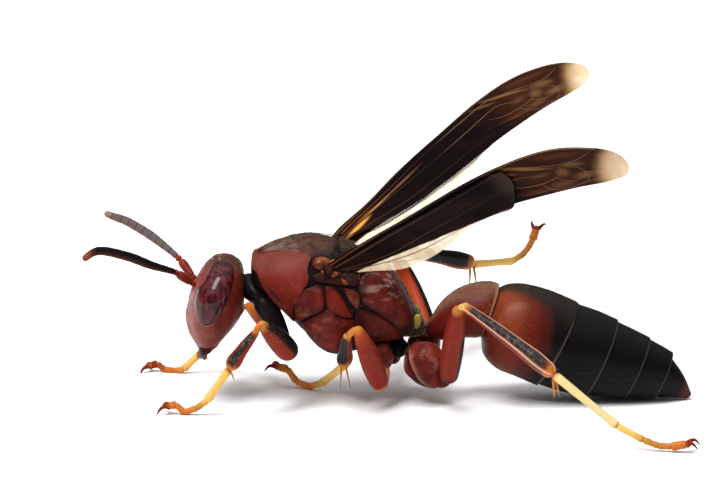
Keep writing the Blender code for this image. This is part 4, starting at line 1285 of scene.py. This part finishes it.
class WingFrame:
    def __init__(self, side, depth):
        span = unit(np.array(wingSizes["span"]) * (1, side, 1))
        steep = -unit(np.array((0, 0, 1)) - span * span[2])
        inward = unit(np.array((span[1] * side, -side * span[0], 0)))
        turn = math.radians(wingSizes["turn"][side])
        self.span, self.chord = span, steep * math.cos(turn) + inward * math.sin(turn)
        self.normal = np.cross(self.span, self.chord)
        self.base = np.array(wingSizes["base"]) * (1, side, 1) + self.normal * side * depth
        self.side = side

    def place(self, flat, lift):
        # a light camber and pleats along the span
        s, c = flat[..., 0], flat[..., 1]
        fade = np.clip(s / 3, 0, 1) * np.clip((14.9 - s) / 3, 0, 1)
        pleats = wingSizes["pleat"] * np.sin(c * 5.2 + 0.15 * s) * fade
        arch = 0.0016 * (s - 5.0) ** 2 * np.clip((s - 5) / 5, 0, 1)
        rise = lift + pleats - self.side * arch
        s = s * wingSizes["reach"][self.side]
        spots = self.base + s[..., None] * self.span + c[..., None] * self.chord
        return spots + rise[..., None] * self.normal


def wingShape(frame, edges):
    t = np.linspace(0, 1, wingSizes["rows"])
    sides = []
    for edge in ("upper", "lower"):
        dense = smoothRows(edges[edge], 600)
        run = np.concatenate(([0], np.cumsum(np.linalg.norm(np.diff(dense, axis=0), axis=1))))
        where = t * run[-1]
        sides.append(np.stack([np.interp(where, run, dense[:, k]) for k in (0, 1)], 1))
    w = (1 - np.cos(np.linspace(0, math.pi, wingSizes["across"])))[1:-1] / 2
    flat = sides[0][:, None] + w[None, :, None] * (sides[1] - sides[0])[:, None]
    half = wingSizes["thickness"] / 2
    ring = np.concatenate((frame.place(flat, half), frame.place(flat[:, ::-1], -half)), 1)
    uv = np.concatenate((flat, flat[:, ::-1]), 1)
    span, chord, before = wingSizes["sheet"]
    uv = np.stack((uv[..., 0] / span, (uv[..., 1] + before) / chord), -1)
    return sweptShape(ring[:-1], uv[:-1])


def veinShapes(frame, veins):
    # raised veins; u follows the wing's own u and v marks the tan ones
    shapes = []
    for girth, isTan, route in veins:
        dense = smoothRows(route, 60)
        line = frame.place(dense, np.zeros(len(dense)))
        points, faces, uv = limbShape(line, (girth, girth * 0.95, girth * 0.6), 90, 8, up=frame.normal)
        along = np.interp(uv[:, 1], np.linspace(0, 1, 60), dense[:, 0]) / wingSizes["sheet"][0]
        shapes.append((points, faces, np.stack((along, np.full(len(along), float(isTan))), -1)))
    return joined(shapes)


def patchMask(finish, s, c, reachS, reachC, turn=0.0, soft=0.5):
    # a soft oval mark on a wing, placed along its span and chord
    span, chord, before = wingSizes["sheet"]
    node = finish.tree.nodes.new("ShaderNodeVectorMath")
    node.operation = "MULTIPLY_ADD"
    node.inputs[1].default_value = (span, chord, 0)
    node.inputs[2].default_value = (-s, -c - before, 0)
    finish.join(finish.uv, node.inputs[0])
    lean = finish.tree.nodes.new("ShaderNodeMapping")
    lean.vector_type = "TEXTURE"
    lean.inputs["Rotation"].default_value = (0, 0, math.radians(turn))
    lean.inputs["Scale"].default_value = (reachS, reachC, 1)
    finish.join(node.outputs[0], lean.inputs["Vector"])
    size = finish.tree.nodes.new("ShaderNodeVectorMath")
    size.operation = "LENGTH"
    finish.join(lean.outputs[0], size.inputs[0])
    return finish.ramp(finish.plus(size.outputs["Value"], finish.wobble(900, 3, 0.3)),
                       [(1 - soft, 1.0), (1.0, 0.0)])


foreWingTones = dict(
    along=[(0.0, (0.018, 0.006, 0.003)), (0.25, (0.003, 0.0015, 0.0015)), (0.64, (0.003, 0.0015, 0.0015)),
           (0.74, (0.013, 0.004, 0.002)), (0.9, (0.022, 0.007, 0.004))],
    marks=[  # span, chord, reach along, reach across, turn, tone, strength
        (1.7, -0.16, 0.9, 0.10, -12, (0.70, 0.32, 0.05), 0.95),
        (3.0, -0.58, 1.2, 0.07, -14, (0.42, 0.16, 0.04), 0.85),
        (4.6, -0.98, 1.6, 0.07, -13, (0.20, 0.07, 0.03), 0.7),
        (2.2, -0.46, 0.8, 0.07, -16, (0.20, 0.04, 0.01), 0.8),
        (11.2, -2.08, 1.2, 0.11, 24, (0.26, 0.12, 0.045), 0.85),
        (10.2, -2.16, 0.7, 0.10, 20, (0.22, 0.09, 0.03), 0.7),
        (12.3, -1.20, 0.34, 0.30, 0, (0.17, 0.08, 0.035), 0.8),
        (11.9, -0.66, 0.55, 0.22, 8, (0.12, 0.055, 0.026), 0.8),
        (12.9, -1.46, 0.55, 0.20, 20, (0.17, 0.085, 0.035), 0.8),
        (13.0, -0.72, 0.55, 0.22, 12, (0.18, 0.09, 0.04), 0.8),
        (12.6, -2.2, 1.2, 0.20, 14, (0.085, 0.026, 0.010), 0.8),
        (11.5, -1.42, 0.5, 0.16, 0, (0.11, 0.045, 0.02), 0.7),
        (10.9, -0.7, 1.0, 0.16, 8, (0.075, 0.022, 0.010), 0.8),
        (13.4, -0.22, 0.5, 0.12, 4, (0.15, 0.08, 0.035), 0.7),
    ],
    tip=(14.85, 0.10),  # span and chord at the middle of the cream end
    cream=[(0.35, (0.50, 0.33, 0.17)), (0.65, (0.68, 0.52, 0.33))],
)


def foreWingFinish():
    finish = Finish("foreWingBrown", roughness=0.42, specular=0.012)
    s = finish.times(finish.u, 16 / 15)
    streaks = finish.ramp(finish.noise(520, 4, (0.35, 1, 1)), [(0.45, 0.0), (0.80, 0.35)])
    finish.colour(finish.mix(streaks, finish.ramp(s, foreWingTones["along"]), (0.030, 0.009, 0.004)))
    smoky = finish.ramp(finish.noise(330, 3, (0.5, 1, 1)), [(0.42, 0.0), (0.62, 0.35)])
    finish.tint(finish.times(smoky, finish.ramp(s, [(0.68, 0.0), (0.78, 1.0)])), (0.060, 0.021, 0.010))
    for spanSpot, chordSpot, reachS, reachC, turn, tone, strength in foreWingTones["marks"]:
        mask = patchMask(finish, spanSpot, chordSpot, reachS * 1.2, reachC * 1.25, turn, soft=0.85)
        finish.tint(finish.times(mask, strength * (0.55 if spanSpot > 10 else 0.9)), tone)
    browned = patchMask(finish, *foreWingTones["tip"], 1.85, 2.5, 30, soft=0.35)
    finish.tint(finish.times(browned, 0.9), (0.24, 0.12, 0.045))
    end = patchMask(finish, *foreWingTones["tip"], 1.62, 2.3, 30, soft=0.45)
    finish.tint(end, finish.ramp(finish.noise(900, 4), foreWingTones["cream"]))
    finish.join(finish.mix(end, (1, 1, 1), (0.75, 0.75, 0.75)), finish.shader.inputs["Alpha"])
    finish.bump(finish.noise(1500, 4, (0.3, 1, 1)), 0.02, 0.4)
    finish.bump(finish.cells(9000), 0.004, 0.3)
    return finish.material


def hindWingFinish():
    # dark along its folded front, clear cream behind the fold
    finish = Finish("hindWingCream", roughness=0.42, specular=0.012)
    span, chord, before = wingSizes["sheet"]
    s, share = finish.times(finish.u, span), finish.times(finish.u, span / 12)
    c = finish.math("SUBTRACT", finish.times(finish.v, chord), before)
    past = finish.math("SUBTRACT", c, finish.plus(finish.times(s, -0.10), 0.40))
    lobe = finish.ramp(finish.plus(finish.plus(past, finish.wobble(1100, 3, 0.12)), 0.5),
                       [(0.48, 0.0), (0.54, 1.0)])
    lobe = finish.times(lobe, finish.ramp(share, [(0.66, 1.0), (0.80, 0.0)]))
    dark = finish.ramp(finish.noise(700, 4, (0.35, 1, 1)),
                       [(0.35, (0.0025, 0.0015, 0.0015)), (0.75, (0.010, 0.004, 0.003))])
    finish.colour(finish.mix(finish.ramp(share, [(0.78, 0.0), (0.87, 0.8)]), dark, (0.035, 0.020, 0.015)))
    finish.tint(lobe, finish.ramp(finish.noise(1500, 3),
                                  [(0.3, (0.66, 0.50, 0.33)), (0.7, (0.86, 0.74, 0.54))]))
    finish.join(finish.mix(lobe, (1, 1, 1), (0.62, 0.62, 0.62)), finish.shader.inputs["Alpha"])
    finish.bump(finish.noise(1500, 4, (0.3, 1, 1)), 0.02, 0.4)
    return finish.material


def veinFinish(name, near, far):
    finish = Finish(name, roughness=0.36, specular=0.08)
    s = finish.times(finish.u, 16 / 15)
    finish.colour(finish.ramp(s, [(0.0, near), (0.62, (0.007, 0.004, 0.003)), (0.78, (0.016, 0.006, 0.003)),
                                  (0.97, far)]))
    outer = finish.ramp(s, [(0.64, 0.0), (0.72, 0.8), (0.92, 0.3)])
    finish.tint(finish.times(outer, finish.v), (0.17, 0.085, 0.038))
    finish.tint(finish.times(finish.noise(3000, 3), 0.4), (0.008, 0.004, 0.003))
    finish.bump(finish.noise(6000, 3), 0.006, 0.4)
    return finish.material


foreWing, hindWing = foreWingFinish(), hindWingFinish()
foreVein = veinFinish("foreVeinBrown", (0.10, 0.030, 0.010), (0.20, 0.11, 0.05))
hindVein = veinFinish("hindVeinBrown", (0.08, 0.028, 0.012), (0.06, 0.03, 0.02))
for side, label in sideNames.items():
    top, under = WingFrame(side, 0.0), WingFrame(side, wingSizes["underDepth"])
    fore, hind = dict(wingSizes["fore"]), dict(wingSizes["hind"])
    if side > 0:
        fore["lower"], hind["lower"] = fore["farLower"], hind["farLower"]
    root = top.place(np.array([[0.30, -0.22], [0.95, -0.30]]), -0.06 * side)
    start = np.array(wingSizes["hingeFrom"]) * (1, side, 1)
    hinge = limbShape([start, *root], wingSizes["hingeGirth"], 40, 20, flat=0.7)
    makePiece("wingHinge_" + label, hinge, rootFinish.material)
    makePiece("foreWing_" + label, wingShape(top, fore), foreWing, ["forewing_" + label])
    makePiece("foreVeins_" + label, veinShapes(top, wingSizes["foreVeins"]), foreVein)
    makePiece("hindWing_" + label, wingShape(under, hind), hindWing, ["hindwing_" + label])
    makePiece("hindVeins_" + label, veinShapes(under, wingSizes["hindVeins"]), hindVein)
print("wings made")


# short down, grown on finished surfaces
downTones = dict(
    grey=(0.22, 0.16, 0.09), crown=(0.30, 0.22, 0.15), rusty=(0.32, 0.12, 0.05), plate=(0.40, 0.25, 0.15),
    hindRing=(0.40, 0.27, 0.16), silver=(0.42, 0.30, 0.18), bell=(0.34, 0.22, 0.11), gold=(0.34, 0.19, 0.07),
    coxa=(0.46, 0.33, 0.22), thigh=(0.36, 0.20, 0.10),
)
downThickness, downLean = 0.0035, 2.2
downPatches = [  # on, hairs a square millimetre, length, tone, seed, where it grows when not all over
    ("mesoscutum", 330, 0.10, "grey", 3, lambda p, n: n[:, 2] > 0.1),
    ("scutellum", 300, 0.10, "grey", 4, lambda p, n: n[:, 2] > 0.1),
    ("headCapsule", 260, 0.10, "crown", 5, lambda p, n: p[:, 2] > 5.3),
    ("pronotum", 110, 0.06, "rusty", 6, lambda p, n: n[:, 2] > -0.4),
    ("mesopleuron", 200, 0.07, "plate", 7, lambda p, n: p[:, 2] < 4.0),
    ("metathorax", 200, 0.07, "hindRing", 8, None),
    ("propodeum", 300, 0.13, "silver", 9, None),
    ("tergite1", 260, 0.07, "bell", 10, lambda p, n: n[:, 2] > 0.1),
    ("tergite2", 220, 0.06, "gold", 11, lambda p, n: (n[:, 2] > 0.1) & (p[:, 0] < 6.6)),
    ("left_hind_coxa", 200, 0.08, "coxa", 12, None),
    ("left_hind_tibia", 90, 0.10, "silver", 14, None),
    ("right_hind_tibia", 90, 0.10, "silver", 15, None),
    ("left_front_femur", 110, 0.06, "thigh", 16, None),
    ("left_mid_femur", 110, 0.06, "thigh", 17, None),
    ("left_hind_femur", 110, 0.06, "thigh", 18, None),
    ("right_hind_coxa", 200, 0.08, "coxa", 13, None),
]


def downTree(name, material, seed):
    # hairs strewn on a surface, each leaning back toward the tail
    tree = bpy.data.node_groups.new(name, "GeometryNodeTree")
    face = tree.interface
    face.new_socket("Geometry", in_out="INPUT", socket_type="NodeSocketGeometry")
    for label in ("Density", "Length", "Thickness", "Lean"):
        face.new_socket(label, in_out="INPUT", socket_type="NodeSocketFloat")
    face.new_socket("Geometry", in_out="OUTPUT", socket_type="NodeSocketGeometry")
    add, link = tree.nodes.new, tree.links.new
    given, result = add("NodeGroupInput"), add("NodeGroupOutput")

    where = add("GeometryNodeInputNamedAttribute")
    where.data_type = "FLOAT"
    where.inputs["Name"].default_value = "downy"
    density = add("ShaderNodeMath")
    density.operation = "MULTIPLY"
    link(where.outputs["Attribute"], density.inputs[0])
    link(given.outputs["Density"], density.inputs[1])
    strew = add("GeometryNodeDistributePointsOnFaces")
    strew.inputs["Seed"].default_value = seed
    link(given.outputs["Geometry"], strew.inputs["Mesh"])
    link(density.outputs[0], strew.inputs["Density"])

    back = add("ShaderNodeCombineXYZ")
    link(given.outputs["Lean"], back.inputs["X"])
    droop = add("ShaderNodeVectorMath")
    link(strew.outputs["Normal"], droop.inputs[0])
    link(back.outputs[0], droop.inputs[1])
    turn = add("FunctionNodeAlignRotationToVector")
    link(droop.outputs["Vector"], turn.inputs["Vector"])
    size = add("FunctionNodeRandomValue")
    size.data_type = "FLOAT"
    size.inputs[2].default_value = 0.5
    size.inputs[3].default_value = 1.2
    size.inputs["Seed"].default_value = seed + 50

    hair = add("GeometryNodeMeshCone")
    hair.inputs["Vertices"].default_value = 3
    link(given.outputs["Thickness"], hair.inputs["Radius Bottom"])
    link(given.outputs["Length"], hair.inputs["Depth"])
    plant = add("GeometryNodeInstanceOnPoints")
    link(strew.outputs["Points"], plant.inputs["Points"])
    link(hair.outputs["Mesh"], plant.inputs["Instance"])
    link(turn.outputs[0], plant.inputs["Rotation"])
    link(size.outputs[1], plant.inputs["Scale"])
    real = add("GeometryNodeRealizeInstances")
    link(plant.outputs[0], real.inputs[0])
    coat = add("GeometryNodeSetMaterial")
    coat.inputs["Material"].default_value = material
    link(real.outputs[0], coat.inputs[0])
    link(coat.outputs[0], result.inputs[0])
    return tree


def growDown(on, density, length, tone, seed, keep):
    mesh = bpy.data.objects[on].data.copy()
    count = len(mesh.vertices)
    places, normals = np.empty(count * 3), np.empty(count * 3)
    mesh.vertices.foreach_get("co", places)
    mesh.vertices.foreach_get("normal", normals)
    downy = np.ones(count, bool)
    if keep:
        downy = keep(places.reshape(-1, 3) / mm - originShift, normals.reshape(-1, 3))
    mesh.attributes.new("downy", "FLOAT", "POINT").data.foreach_set("value", downy.astype(np.float32))
    name = "down_" + on
    holder = bpy.data.objects.new(name + "_ground", mesh)
    bpy.context.scene.collection.objects.link(holder)
    finish = Finish(name + "_tone", roughness=0.5, sheen=0.1)
    light = downTones[tone]
    dark = tuple(0.55 * c for c in light)
    finish.colour(finish.ramp(finish.noise(2500, 2), [(0.3, dark), (0.7, light)]))
    tree = downTree(name, finish.material, seed)
    modifier = holder.modifiers.new("down", "NODES")
    modifier.node_group = tree
    values = dict(Density=density * 1e6, Length=length * mm, Thickness=downThickness * mm, Lean=downLean)
    for socket in tree.interface.items_tree:
        if socket.in_out == "INPUT" and socket.name in values:
            modifier[socket.identifier] = float(values[socket.name])
    bpy.context.view_layer.update()
    grown = bpy.data.meshes.new_from_object(holder.evaluated_get(bpy.context.evaluated_depsgraph_get()))
    bpy.data.objects.remove(holder, do_unlink=True)
    grown.name = name
    piece = bpy.data.objects.new(name, grown)
    bpy.context.scene.collection.objects.link(piece)
    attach(piece, "root")
    return len(grown.polygons)


faces = sum(growDown(*patch) for patch in downPatches)
print("down grown,", faces, "faces")
